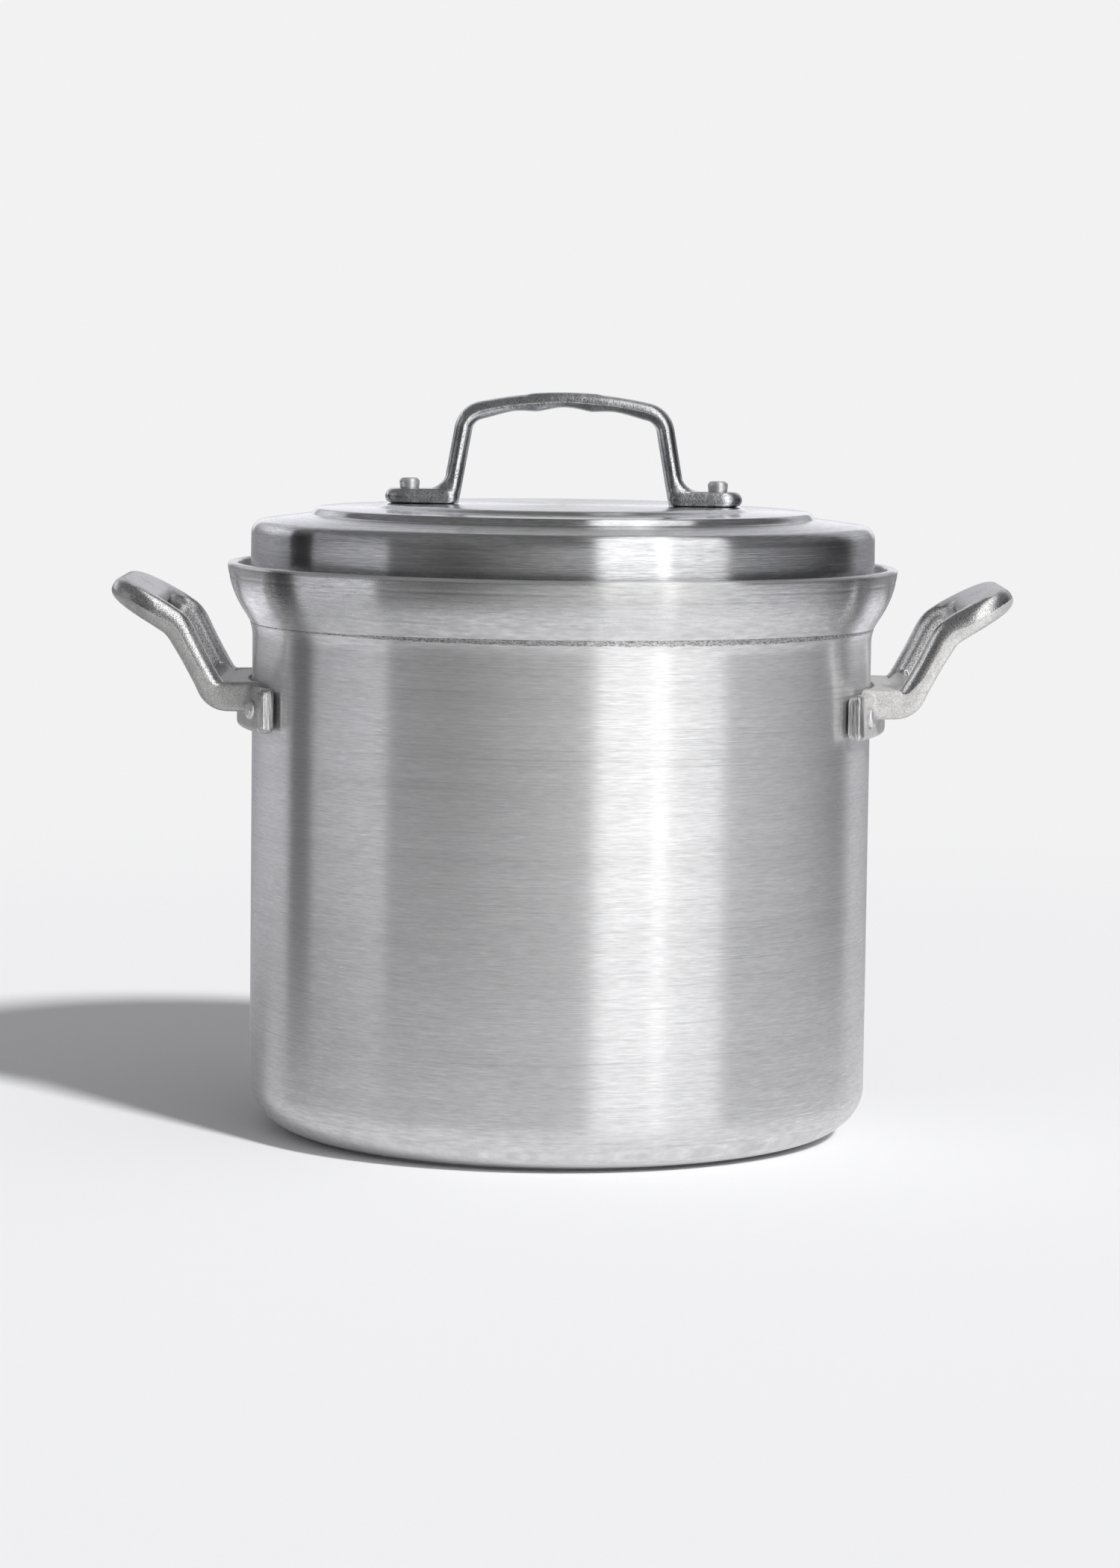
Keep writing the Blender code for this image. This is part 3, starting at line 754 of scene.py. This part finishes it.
def calc(operation, *values):
    return joined("ShaderNodeMath", dict(enumerate(values)), operation=operation).outputs[0]


def times(first, *others):
    for other in others:
        first = calc("MULTIPLY", first, other)
    return first


def plus(first, second):
    return calc("ADD", first, second)


def minus(first, second):
    return calc("SUBTRACT", first, second)


def vector(x, y, z):
    return joined("ShaderNodeCombineXYZ", {"X": x, "Y": y, "Z": z}).outputs[0]


def vector_calc(operation, first, second):
    return joined("ShaderNodeVectorMath", {0: first, 1: second}, operation=operation).outputs[0]


def split(place):
    return joined("ShaderNodeSeparateXYZ", {"Vector": place}).outputs


def object_place(tree):
    return node(tree, "ShaderNodeTexCoord").outputs["Object"]


def noise(place, scale, detail=2.0, rough=0.5):
    inputs = {"Vector": place, "Scale": scale, "Detail": detail, "Roughness": rough}
    return joined("ShaderNodeTexNoise", inputs).outputs["Fac"]


def spread(value, low, high, to_low, to_high, kind="LINEAR"):
    """Carries a value from one range to another, and holds it there at both ends."""
    ends = {"From Min": low, "From Max": high, "To Min": to_low, "To Max": to_high}
    settings = {"interpolation_type": kind, "clamp": True}
    return joined("ShaderNodeMapRange", {"Value": value, **ends}, **settings).outputs["Result"]


def rises(value, low, high):
    """0 at low and before it, 1 at high and beyond it, with a smooth change between."""
    return spread(value, low, high, 0.0, 1.0, SMOOTH)


def falls(value, low, high):
    """1 at low and before it, 0 at high and beyond it."""
    return spread(value, low, high, 1.0, 0.0, SMOOTH)


def vary(value, to_low, to_high):
    """A noise value spread over a range of its own."""
    return spread(value, NOISE_LOW, NOISE_HIGH, to_low, to_high)


def blend_value(factor, first, second):
    inputs = {"Factor": factor, 2: first, 3: second}
    return joined("ShaderNodeMix", inputs, data_type="FLOAT").outputs[0]


def blend_colour(factor, first, second, kind="MIX"):
    inputs = {"Factor": factor, 6: first, 7: second}
    return joined("ShaderNodeMix", inputs, data_type="RGBA", blend_type=kind).outputs[2]


def coloured(red, green, blue):
    return joined("ShaderNodeCombineColor", {"Red": red, "Green": green, "Blue": blue}).outputs[0]


def grey(value):
    return coloured(value, value, value)


def shaded(colour, value):
    """A colour darkened by a value."""
    return blend_colour(1.0, colour, grey(value), "MULTIPLY")


def mixed(factor, first, second):
    """One shader faded into another."""
    return joined("ShaderNodeMixShader", {0: factor, 1: first.outputs[0], 2: second.outputs[0]})


def new_material(name):
    mat = bpy.data.materials.new(name)
    mat.use_nodes = True
    tree = mat.node_tree
    shader = tree.nodes["Principled BSDF"]
    shader.inputs["Metallic"].default_value = 1.0
    return mat, tree, shader


def bump(shader, height, strength, distance):
    made = joined("ShaderNodeBump", {"Strength": strength, "Distance": distance, "Height": height})
    put(shader.inputs["Normal"], made.outputs["Normal"])


# ---------------- turned metal

BODY_TONE = (0.82, 0.82, 0.825, 1.0)
BODY_ROUGH = 0.31
LID_TONE = (0.77, 0.773, 0.785, 1.0)
LID_ROUGH_TOP = 0.13
LID_ROUGH_SKIRT = 0.20
LID_ROUGH_FROM_R = 102.0
LID_ROUGH_TO_R = 114.0
LID_SEED = 300.0
LID_WEAR = 1.9

# Lathe lines: how often they change round a turn, and in a millimetre across
FINE_LINES = (21.0, 2.3)
MIDDLE_LINES = (5.0, 1.3)
LONG_LINES = (1.6, 2.1)
BROAD_LINES = (0.7, 0.13)

# How far the lines swing the tone on new metal
FINE_SWING = 0.11
MIDDLE_SWING = 0.045
BROAD_SWING = 0.035

# How the wall, the rim's flat land and the collar above the neck differ from plain metal; the
# collar's darker tone is painted shade
WALL_METAL = 0.85
LAND_METAL = 0.85
COLLAR_PAINTED_SHADE = 0.80
COLLAR_ROUGH = 0.84
COLLAR_LOW_Z = 213.0
COLLAR_HIGH_Z = 219.0

# The line that the tool skipped: how ragged and grainy round a turn, and where it is widest
BAND_RAGGED = 60.0
BAND_GRAIN = 110.0
BAND_SIDE = (0.29, 0.957)
BAND_THIN = 0.26
BAND_WIDE = 1.12
BAND_BELOW_NECK = 0.35


def turned_places(tree):
    """On a solid of revolution: (cosine, sine, run along the profile, radius, height), in mm."""
    x, y, z = (times(axis, 1 / MM) for axis in split(object_place(tree)))
    squares = plus(times(x, x), times(y, y))
    r = calc("SQRT", plus(squares, 1e-4))
    run = minus(z, r)
    return calc("DIVIDE", x, r), calc("DIVIDE", y, r), run, r, z


def around(places, per_turn, along):
    """A place for noise that changes round the axis and along one more direction."""
    return vector(times(places[0], per_turn), times(places[1], per_turn), along)


def streaks(places, lines, seed, detail):
    """Noise drawn out round the axis: long lines that follow the tool's path."""
    per_turn, per_mm = lines
    along = calc("MULTIPLY_ADD", places[2], per_mm, seed)
    return noise(around(places, per_turn, along), 1.0, detail, 0.55)


def around_one(value, swing):
    """A noise value turned into a factor that swings both ways from just under 1."""
    return vary(value, 0.99 - swing, 0.99 + swing)


def lathe_lines(places, seed, wear):
    """(shade, fine lines, height) of the marks that a lathe tool leaves."""
    fine = streaks(places, FINE_LINES, seed, 3.0)
    middle = streaks(places, MIDDLE_LINES, seed + 40.0, 2.0)
    long = streaks(places, LONG_LINES, seed + 70.0, 1.0)
    broad = streaks(places, BROAD_LINES, seed + 90.0, 2.0)
    shade = times(
        around_one(fine, FINE_SWING * wear),
        around_one(middle, MIDDLE_SWING * wear),
        spread(long, 0.60, 0.74, 1.0, 0.88),
        around_one(broad, BROAD_SWING * wear**2),
    )
    height = plus(times(fine, 0.6), times(middle, 0.6))
    height = minus(height, spread(long, 0.58, 0.72, 0.0, 0.8))
    return shade, fine, height


def neck_band(places):
    """(mask, grain) of the ragged line at the neck: thin dashes at the back, a band in front."""
    cosine, sine, _, _, z = places
    toward = minus(times(cosine, BAND_SIDE[0]), times(sine, BAND_SIDE[1]))
    half = spread(toward, 0.30, 1.0, BAND_THIN, BAND_WIDE, SMOOTH)
    ragged = noise(around(places, BAND_RAGGED, times(z, 0.9)), 1.0, 3.0, 0.6)
    low = times(half, vary(ragged, 0.55, 1.30))
    away = minus(z, NECK_Z - BAND_BELOW_NECK)
    above = spread(minus(half, away), -0.05, 0.08, 0.0, 1.0)
    below = spread(plus(low, away), -0.06, 0.12, 0.0, 1.0)
    grain = noise(around(places, BAND_GRAIN, times(z, 2.6)), 1.0, 3.0, 0.62)
    from_edge = calc("ABSOLUTE", minus(half, away))
    darker = spread(from_edge, 0.10, 0.24, 0.16, 0.0)
    return times(above, below), minus(grain, darker)


def neck_and_collar(shader, places, colour, rough, height):
    """(colour, roughness, height) of the pot's body, with its neck, collar and rim told apart."""
    z = places[4]
    metal = spread(z, NECK_Z - 0.5, NECK_Z + 8.0, WALL_METAL, 1.0)
    land = spread(z, RIM_TOP_Z - 1.6, RIM_TOP_Z - 0.9, 1.0, LAND_METAL)
    put(shader.inputs["Metallic"], calc("MINIMUM", metal, land))
    # Painted shade: the collar's colour is darkened from COLLAR_LOW_Z up, standing in for the
    # darker reflections on its flare
    colour = shaded(colour, spread(z, COLLAR_LOW_Z, COLLAR_HIGH_Z, 1.0, COLLAR_PAINTED_SHADE))
    rough = times(rough, spread(z, NECK_Z, NECK_Z + 12.0, 1.0, COLLAR_ROUGH))
    mask, grain = neck_band(places)
    colour = blend_colour(mask, colour, grey(spread(grain, 0.34, 0.66, 0.22, 1.0)))
    rough = blend_value(mask, rough, 0.5)
    return colour, rough, plus(height, times(grain, mask, 3.0))


def turned_metal(name, tone, seed, wear, rough_at, neck):
    """Aluminium off a lathe: fine lines round the axis that smear reflections across them.

    rough_at is two radii and the roughness at each of them.
    """
    mat, tree, shader = new_material(name)
    places = turned_places(tree)
    shade, fine, height = lathe_lines(places, seed, wear)
    colour = shaded(tone, shade)
    rough = times(vary(fine, 1.12, 0.88), spread(places[3], *rough_at))
    if neck:
        colour, rough, height = neck_and_collar(shader, places, colour, rough, height)
    put(shader.inputs["Base Color"], colour)
    put(shader.inputs["Roughness"], rough)
    bump(shader, height, strength=0.4, distance=0.00005)
    tangent = node(tree, "ShaderNodeTangent", direction_type="RADIAL", axis="Z")
    put(shader.inputs["Tangent"], tangent.outputs[0])
    shader.inputs["Anisotropic"].default_value = 1.0
    shader.inputs["Anisotropic Rotation"].default_value = 0.25
    return mat


# ---------------- cast metal and rivets

# Painted shade: the left loop handle's skin is a darker, more metallic copy of the right one's, for
# the shade on its side away from the key
RIGHT_SKIN = 0.86
RIGHT_METAL = 0.55
LEFT_SKIN_PAINTED_SHADE = 0.66
LEFT_METAL = 0.75
LEFT_SEED = 0.37
TOP_TONE = (0.86, 0.86, 0.88, 1.0)
BOW_TONE = (0.88, 0.89, 0.91, 1.0)
RIVET_METAL = 0.85

# Noise scales, per metre
CAST_GRAIN = 1500.0
CAST_PITS = 2600.0
CAST_PATCH = 220.0
GROUND_LINES = (2200.0, 2200.0, 90.0)
BOW_PITS = 1950.0
BOW_RIPPLE = 300.0
BOW_WEAR = 90.0
RIVET_DENTS = 480.0


def attribute(tree, name):
    return node(tree, "ShaderNodeAttribute", attribute_name=name).outputs["Fac"]


def cast_colours(place, skin, grain, pits):
    """(sand-cast skin, buffed metal, top of the grip)."""
    patch = noise(place, CAST_PATCH, 3.0, 0.55)
    dull = times(spread(grain, 0.35, 0.65, 0.68, 1.0), vary(patch, 0.88, 1.03))
    speck = spread(pits, 0.34, 0.42, 0.72, 1.0)
    cast = shaded((skin, 0.99 * skin, 0.975 * skin, 1.0), times(dull, speck))
    shine = grey(times(spread(pits, 0.34, 0.56, 0.42, 0.92), speck))
    top = shaded(TOP_TONE, times(spread(grain, 0.34, 0.66, 0.58, 1.0), speck))
    return cast, shine, top


def cast_metal(name, seed, skin, metal):
    """Sand-cast aluminium, with its arms' upper half buffed bright and its flange ends ground."""
    mat, tree, shader = new_material(name)
    place = vector_calc("ADD", object_place(tree), (seed, seed, seed))
    buffed, ground, skin_top = (attribute(tree, key) for key in ("buffed", "ground", "skin_top"))
    grain = noise(place, CAST_GRAIN, 3.0, 0.6)
    pits = noise(place, CAST_PITS, 2.0, 0.5)
    lines = noise(vector_calc("MULTIPLY", place, GROUND_LINES), 1.0, 2.0, 0.6)
    edge = plus(buffed, vary(grain, -0.28, 0.28))
    bright = spread(edge, 0.42, 0.58, 0.0, 1.0)

    cast, shine, top = cast_colours(place, skin, grain, pits)
    colour = blend_colour(skin_top, cast, top)
    colour = blend_colour(bright, colour, shine)
    scored = grey(spread(lines, 0.35, 0.65, 0.35, 0.95))
    put(shader.inputs["Base Color"], blend_colour(ground, colour, scored))

    rough = blend_value(skin_top, vary(grain, 0.52, 0.4), 0.36)
    rough = blend_value(bright, rough, vary(pits, 0.24, 0.13))
    put(shader.inputs["Roughness"], blend_value(ground, rough, 0.3))
    smoothed = calc("MAXIMUM", bright, ground)
    put(shader.inputs["Metallic"], blend_value(smoothed, metal, 1.0))

    deep = blend_value(bright, blend_value(skin_top, 1.0, 0.9), 0.6)
    height = times(plus(grain, times(pits, 0.5)), deep)
    height = plus(height, times(lines, ground, 0.8))
    bump(shader, height, strength=0.8, distance=0.00018)
    return mat


def polished_cast(name):
    """Tumbled cast aluminium: glossy, sparkling with fine pits and patches of darker skin."""
    mat, tree, shader = new_material(name)
    place = object_place(tree)
    pits = noise(place, BOW_PITS, 3.0, 0.65)
    ripple = noise(place, BOW_RIPPLE, 2.0, 0.5)
    wear = noise(place, BOW_WEAR, 3.0, 0.6)
    speck = spread(pits, 0.37, 0.47, 0.34, 1.0)
    dark = spread(wear, 0.38, 0.62, 0.78, 1.0)
    put(shader.inputs["Base Color"], shaded(BOW_TONE, times(speck, dark)))
    put(shader.inputs["Roughness"], spread(pits, 0.35, 0.65, 0.22, 0.09))
    height = plus(pits, times(ripple, 2.2))
    bump(shader, height, strength=0.7, distance=0.00010)
    return mat


def rivet_metal(name):
    """Bright aluminium with the small dents of a rivet set."""
    mat, tree, shader = new_material(name)
    place = object_place(tree)
    dents = noise(place, RIVET_DENTS, 2.0, 0.5)
    pits = noise(place, CAST_PITS, 2.0, 0.5)
    shade = times(vary(dents, 0.70, 0.90), spread(pits, 0.3, 0.5, 0.85, 1.0))
    put(shader.inputs["Base Color"], grey(shade))
    put(shader.inputs["Roughness"], vary(pits, 0.42, 0.28))
    shader.inputs["Metallic"].default_value = RIVET_METAL
    bump(shader, dents, strength=0.5, distance=0.0002)
    return mat


# ---------------- pieces

def finish_piece(obj, mat, body, slot, *nodes):
    obj.data.materials.clear()
    obj.data.materials.append(mat)
    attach(obj, body)
    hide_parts(*nodes)


def build_turned():
    even = (0.0, 1.0, BODY_ROUGH, BODY_ROUGH)
    tiers = (LID_ROUGH_FROM_R, LID_ROUGH_TO_R, LID_ROUGH_TOP, LID_ROUGH_SKIRT)
    body_metal = turned_metal("turned_body", BODY_TONE, 0.0, 1.0, even, neck=True)
    lid_metal = turned_metal("turned_lid", LID_TONE, LID_SEED, LID_WEAR, tiers, neck=False)
    finish_piece(pot_shell(), body_metal, "pot", "brushed_aluminium", "pot_body")
    finish_piece(lid_shell(), lid_metal, "lid_assembly", "lid_aluminium", "lid")


def build_handles():
    bow_metal = polished_cast("polished_bow")
    finish_piece(bow_shell(), bow_metal, "lid_assembly", "polished_cast_aluminium", "lid_handle")
    right = loop_shell("right_handle_cast")
    left = add("left_handle_cast", right.data.copy())
    left.rotation_euler = (0, 0, math.pi)
    # The left handle's material is the same cast metal painted darker as shade
    right_metal = cast_metal("cast_right", 0.0, RIGHT_SKIN, RIGHT_METAL)
    left_metal = cast_metal("cast_left_painted_shade", LEFT_SEED, LEFT_SKIN_PAINTED_SHADE, LEFT_METAL)
    finish_piece(right, right_metal, "pot", "cast_aluminium", "right_handle")
    finish_piece(left, left_metal, "pot", "cast_aluminium", "left_handle")


def build_rivets():
    metal = rivet_metal("rivet_bright")
    off = FLANGE_X * math.sin(RIVET_ANGLE)
    outer_r = FLANGE_IN_R + FLANGE_THICK
    seat = FLANGE_X * math.cos(RIVET_ANGLE) + math.sqrt(outer_r**2 - off**2)
    wall_in = OUTER_R - WALL - 0.25
    sheet_in = TOP_Z - SHEET - 0.2
    foot_top = FOOT_Z + FOOT_THICK + 0.05
    for side, sign, base in (("right", 1, 0.0), ("left", -1, math.pi)):
        for where, turned in (("front", -1), ("back", 1)):
            name = f"rivet_{side}_{where}"
            rivet = rivet_shell(name + "_set", RIVET_SHANK, wall_in, seat + 0.1, RIVET_R, RIVET_H)
            spin = Matrix.Rotation(base + sign * turned * RIVET_ANGLE, 4, "Z")
            spin = spin @ Matrix.Rotation(QUARTER, 4, "Y")
            rivet.matrix_world = Matrix.Translation((0, 0, RIVET_Z * MM)) @ spin
            finish_piece(rivet, metal, "pot", "rivet_aluminium", name)
        name = f"lid_rivet_{side}"
        rivet = rivet_shell(name + "_set", LID_SHANK, sheet_in, foot_top, LID_RIVET_R, LID_RIVET_H)
        rivet.location = (sign * LID_RIVET_X * MM, 0, 0)
        finish_piece(rivet, metal, "lid_assembly", "rivet_aluminium", name)


# ---------------- studio

PAPER = 0.888

# The lamp: a soft sun, hidden from reflections because the key panel stands for it there
KEY_AZIMUTH = math.radians(36.5)
KEY_HEIGHT = math.radians(38.8)
KEY_ENERGY = 3.15
KEY_ANGLE = math.radians(6.0)

# Brightness of what the metal sees
KEY_PANEL = 1.25
KEY_CORE = 0.55
KEY_SPILL = 0.50
ROOM_DIM = 0.17
LEFT_WALL = 1.18
RIGHT_WALL = 0.92
BACK_WALL = 1.12
DARK_CARD = 0.08
CEILING = 0.15
BACKDROP = 0.90
RAISED_BACKDROP = 0.62

# Where it stands, in degrees to the right of the camera's side
KEY_FROM, KEY_TO = 12.5, 62.0
NARROW_FROM, NARROW_TO = 18.0, 46.0
CORE_FROM, CORE_TO = 34.3, 39.0
CARD_FROM, CARD_TO = -118.5, -104.5
LEFT_FROM, LEFT_TO = -200.0, -66.5
RIGHT_FROM, RIGHT_TO = 55.0, 200.0

# The camera: a long lens, almost level
CAMERA_BACK = 1.946
CAMERA_UP = 0.3211
CAMERA_PITCH = 0.0935
CAMERA_ROLL = 0.0126
SENSOR = 36.0
FOCAL_OVER_FRAME = 6500.0 / 2100.0

# The soft fill on matt surfaces comes mostly from here (x, y)
FILL_FROM = (0.63, -0.78)

FLOOR_TONE = (0.90, 0.90, 0.90, 1.0)
FLOOR_SHEEN = 0.78
FLOOR_HALF = 20000
FLOOR_Z = -0.7


def facing(turn, left, right, soft):
    """1 between two directions, with soft edges."""
    after = rises(turn, left - soft, left + soft)
    before = falls(turn, right - soft, right + soft)
    return times(after, before)


def studio_round(turn):
    """What the metal sees round the horizon, without the key: a dim room between pale walls."""
    seen = spread(turn, -67.0, -44.0, ROOM_DIM + 0.22, ROOM_DIM)
    spill = calc("POWER", spread(turn, -38.0, 8.0, 0.0, 1.0), 1.3)
    seen = plus(seen, times(spill, KEY_SPILL))
    right_wall = spread(turn, 58.0, 122.0, RIGHT_WALL, ROOM_DIM)
    seen = blend_value(facing(turn, RIGHT_FROM, RIGHT_TO, 4.0), seen, right_wall)
    left_wall = spread(turn, -104.0, -67.0, 0.7 * LEFT_WALL, LEFT_WALL)
    seen = blend_value(facing(turn, LEFT_FROM, LEFT_TO, 1.2), seen, left_wall)
    seen = blend_value(facing(turn, CARD_FROM - 0.5, CARD_TO, 1.6), seen, DARK_CARD)
    for near, far in ((-117.0, -121.0), (126.0, 140.0)):
        seen = blend_value(rises(turn, near, far), seen, BACK_WALL)
    # The card again, because the back wall's soft edge has covered part of it
    return blend_value(facing(turn, CARD_FROM, CARD_TO, 1.6), seen, DARK_CARD)


def by_height(level, axes):
    """The room's brightness from below the table's edge up to the dark ceiling."""
    x, y, z = axes
    flat = spread(calc("ABSOLUTE", x), 0.70, 0.92, 0.22, 0.09)
    dipped = spread(y, 0.2, 0.8, 1.78, 1.05)
    level = times(level, spread(z, -0.32, -0.045, dipped, flat, SMOOTH))
    lowest = spread(x, -0.50, -0.12, 0.12, 0.55)
    lowest = times(lowest, spread(y, 0.1, 0.6, 1.0, 0.45))
    level = times(level, spread(z, -0.52, -0.22, lowest, 1.0, SMOOTH))
    upper = spread(x, -0.60, -0.20, 3.4, 1.9)
    level = times(level, spread(z, 0.06, 0.22, 1.0, upper))
    return blend_value(rises(z, 0.30, 0.60), level, CEILING)


def backdrop(axes):
    """The pale paper behind the pot, as its nearly level faces mirror it."""
    _, y, z = axes
    straight = rises(y, 0.93, 0.98)
    raised = times(
        spread(y, 0.55, 0.85, 0.0, RAISED_BACKDROP, SMOOTH),
        rises(z, 0.12, 0.32),
    )
    return times(
        calc("MAXIMUM", straight, raised),
        BACKDROP,
        falls(z, 0.60, 0.76),
        spread(z, -0.03, 0.02, 0.0, 1.0),
    )


def key_panel(turn, lean):
    """(where the key panel stands, its brightness with the lamp's own glow in the middle)."""
    where = facing(turn, KEY_FROM, KEY_TO, 2.8)
    narrow = times(facing(turn, NARROW_FROM, NARROW_TO, 7.0), 0.88)
    where = blend_value(rises(lean, 0.62, 0.86), where, narrow)
    where = times(where, falls(lean, 0.80, 0.93))
    panel = spread(turn, 30.0, 62.0, KEY_PANEL, 0.72 * KEY_PANEL)
    core = facing(turn, CORE_FROM, CORE_TO, 1.6)
    return where, calc("MULTIPLY_ADD", core, KEY_CORE, panel)


def mirrored_room(axes):
    """The colour that glossy rays find in a direction.

    turn is the direction of the wall that would mirror it to the camera's side, and lean is how
    far that wall would lean back: so bands of light run straight on over the lid's shoulder.
    """
    x, y, z = axes
    nearer = minus(1.0, y)
    turn = times(calc("ARCTAN2", x, nearer), 360 / math.pi)
    lean = calc("DIVIDE", z, calc("SQRT", calc("MULTIPLY_ADD", nearer, 2.0, 1e-5)))
    level = by_height(studio_round(turn), axes)
    level = calc("MAXIMUM", level, backdrop(axes))
    where, bright = key_panel(turn, lean)
    level = blend_value(where, level, bright)
    cool = spread(calc("ABSOLUTE", turn), 50.0, 75.0, 1.0, 1.05)
    return coloured(level, level, times(level, cool))


def build_world():
    """The camera sees plain paper, matt surfaces a soft fill, and glossy ones the room."""
    world = bpy.data.worlds.new("studio")
    bpy.context.scene.world = world
    world.use_nodes = True
    world.cycles.sampling_method = "NONE"
    tree = world.node_tree
    tree.nodes.clear()
    axes = split(node(tree, "ShaderNodeTexCoord").outputs["Generated"])
    rays = node(tree, "ShaderNodeLightPath").outputs
    toward = plus(times(axes[0], FILL_FROM[0]), times(axes[1], FILL_FROM[1]))
    fill = spread(toward, -1.0, 1.0, 0.13, 0.54)
    fill = coloured(fill, fill, times(fill, 1.05))
    light = blend_colour(rays["Is Glossy Ray"], fill, mirrored_room(axes))
    light = blend_colour(rays["Is Camera Ray"], light, (PAPER, PAPER, PAPER, 1.0))
    back = node(tree, "ShaderNodeBackground", {"Color": light, "Strength": 1.0})
    out = node(tree, "ShaderNodeOutputWorld")
    tree.links.new(back.outputs[0], out.inputs["Surface"])


def paper_shader(tree):
    """Matt paper that turns into plain light far away, and into nothing where it must not show.

    In reflections it fades out towards the room, is dimmer on the side away from the key, and
    lets the pot's base see through it. From below it is clear.
    """
    place = object_place(tree)
    away = node(tree, "ShaderNodeVectorMath", {0: place}, operation="LENGTH").outputs["Value"]
    glossy = node(tree, "ShaderNodeLightPath").outputs["Is Glossy Ray"]
    sheen = spread(split(place)[0], -0.42, -0.14, 0.5 * FLOOR_SHEEN, FLOOR_SHEEN)
    tone = blend_colour(glossy, FLOOR_TONE, grey(sheen))
    matt = node(tree, "ShaderNodeBsdfDiffuse", {"Color": tone})
    far = node(tree, "ShaderNodeEmission", {"Color": (PAPER, PAPER, PAPER, 1.0)})
    clear = node(tree, "ShaderNodeBsdfTransparent")
    seen = mixed(rises(away, 0.7, 1.3), matt, far)
    beyond = rises(away, 0.20, 0.66)
    under_base = spread(away, 0.094, 0.102, 1.0, 0.0)
    mirrored = mixed(calc("MAXIMUM", beyond, under_base), matt, clear)
    both = mixed(glossy, seen, mirrored)
    return mixed(node(tree, "ShaderNodeNewGeometry").outputs["Backfacing"], both, clear)


def build_floor():
    corners = ((-1, -1), (1, -1), (1, 1), (-1, 1))
    points = [(FLOOR_HALF * x, FLOOR_HALF * y, FLOOR_Z) for x, y in corners]
    floor = make_object("paper_floor", points, [[0, 1, 2, 3]])
    mat = bpy.data.materials.new("paper")
    mat.use_nodes = True
    tree = mat.node_tree
    tree.nodes.clear()
    paper = paper_shader(tree)
    out = node(tree, "ShaderNodeOutputMaterial")
    tree.links.new(paper.outputs[0], out.inputs["Surface"])
    floor.data.materials.append(mat)


def build_key():
    light = bpy.data.lights.new("key", "SUN")
    light.energy = KEY_ENERGY
    light.angle = KEY_ANGLE
    key = add("key", light)
    toward = Vector((
        math.sin(KEY_AZIMUTH) * math.cos(KEY_HEIGHT),
        -math.cos(KEY_AZIMUTH) * math.cos(KEY_HEIGHT),
        math.sin(KEY_HEIGHT),
    ))
    key.rotation_euler = toward.to_track_quat("Z", "Y").to_euler()
    key.visible_glossy = False


def build_camera():
    ahead = Vector((0, math.cos(CAMERA_PITCH), -math.sin(CAMERA_PITCH)))
    right = Vector((1, 0, 0))
    up = right.cross(ahead)
    right, up = (
        right * math.cos(CAMERA_ROLL) + up * math.sin(CAMERA_ROLL),
        up * math.cos(CAMERA_ROLL) - right * math.sin(CAMERA_ROLL),
    )
    data = bpy.data.cameras.new("camera")
    data.sensor_width = SENSOR
    data.lens = FOCAL_OVER_FRAME * SENSOR
    data.clip_end = 200.0
    camera = add("camera", data)
    camera.matrix_world = Matrix((
        (right.x, up.x, -ahead.x, 0.0),
        (right.y, up.y, -ahead.y, -CAMERA_BACK),
        (right.z, up.z, -ahead.z, CAMERA_UP),
        (0, 0, 0, 1),
    ))
    bpy.context.scene.camera = camera


build_turned()
build_handles()
build_rivets()
build_world()
build_floor()
build_key()
build_camera()
bpy.context.scene.view_settings.view_transform = "Standard"
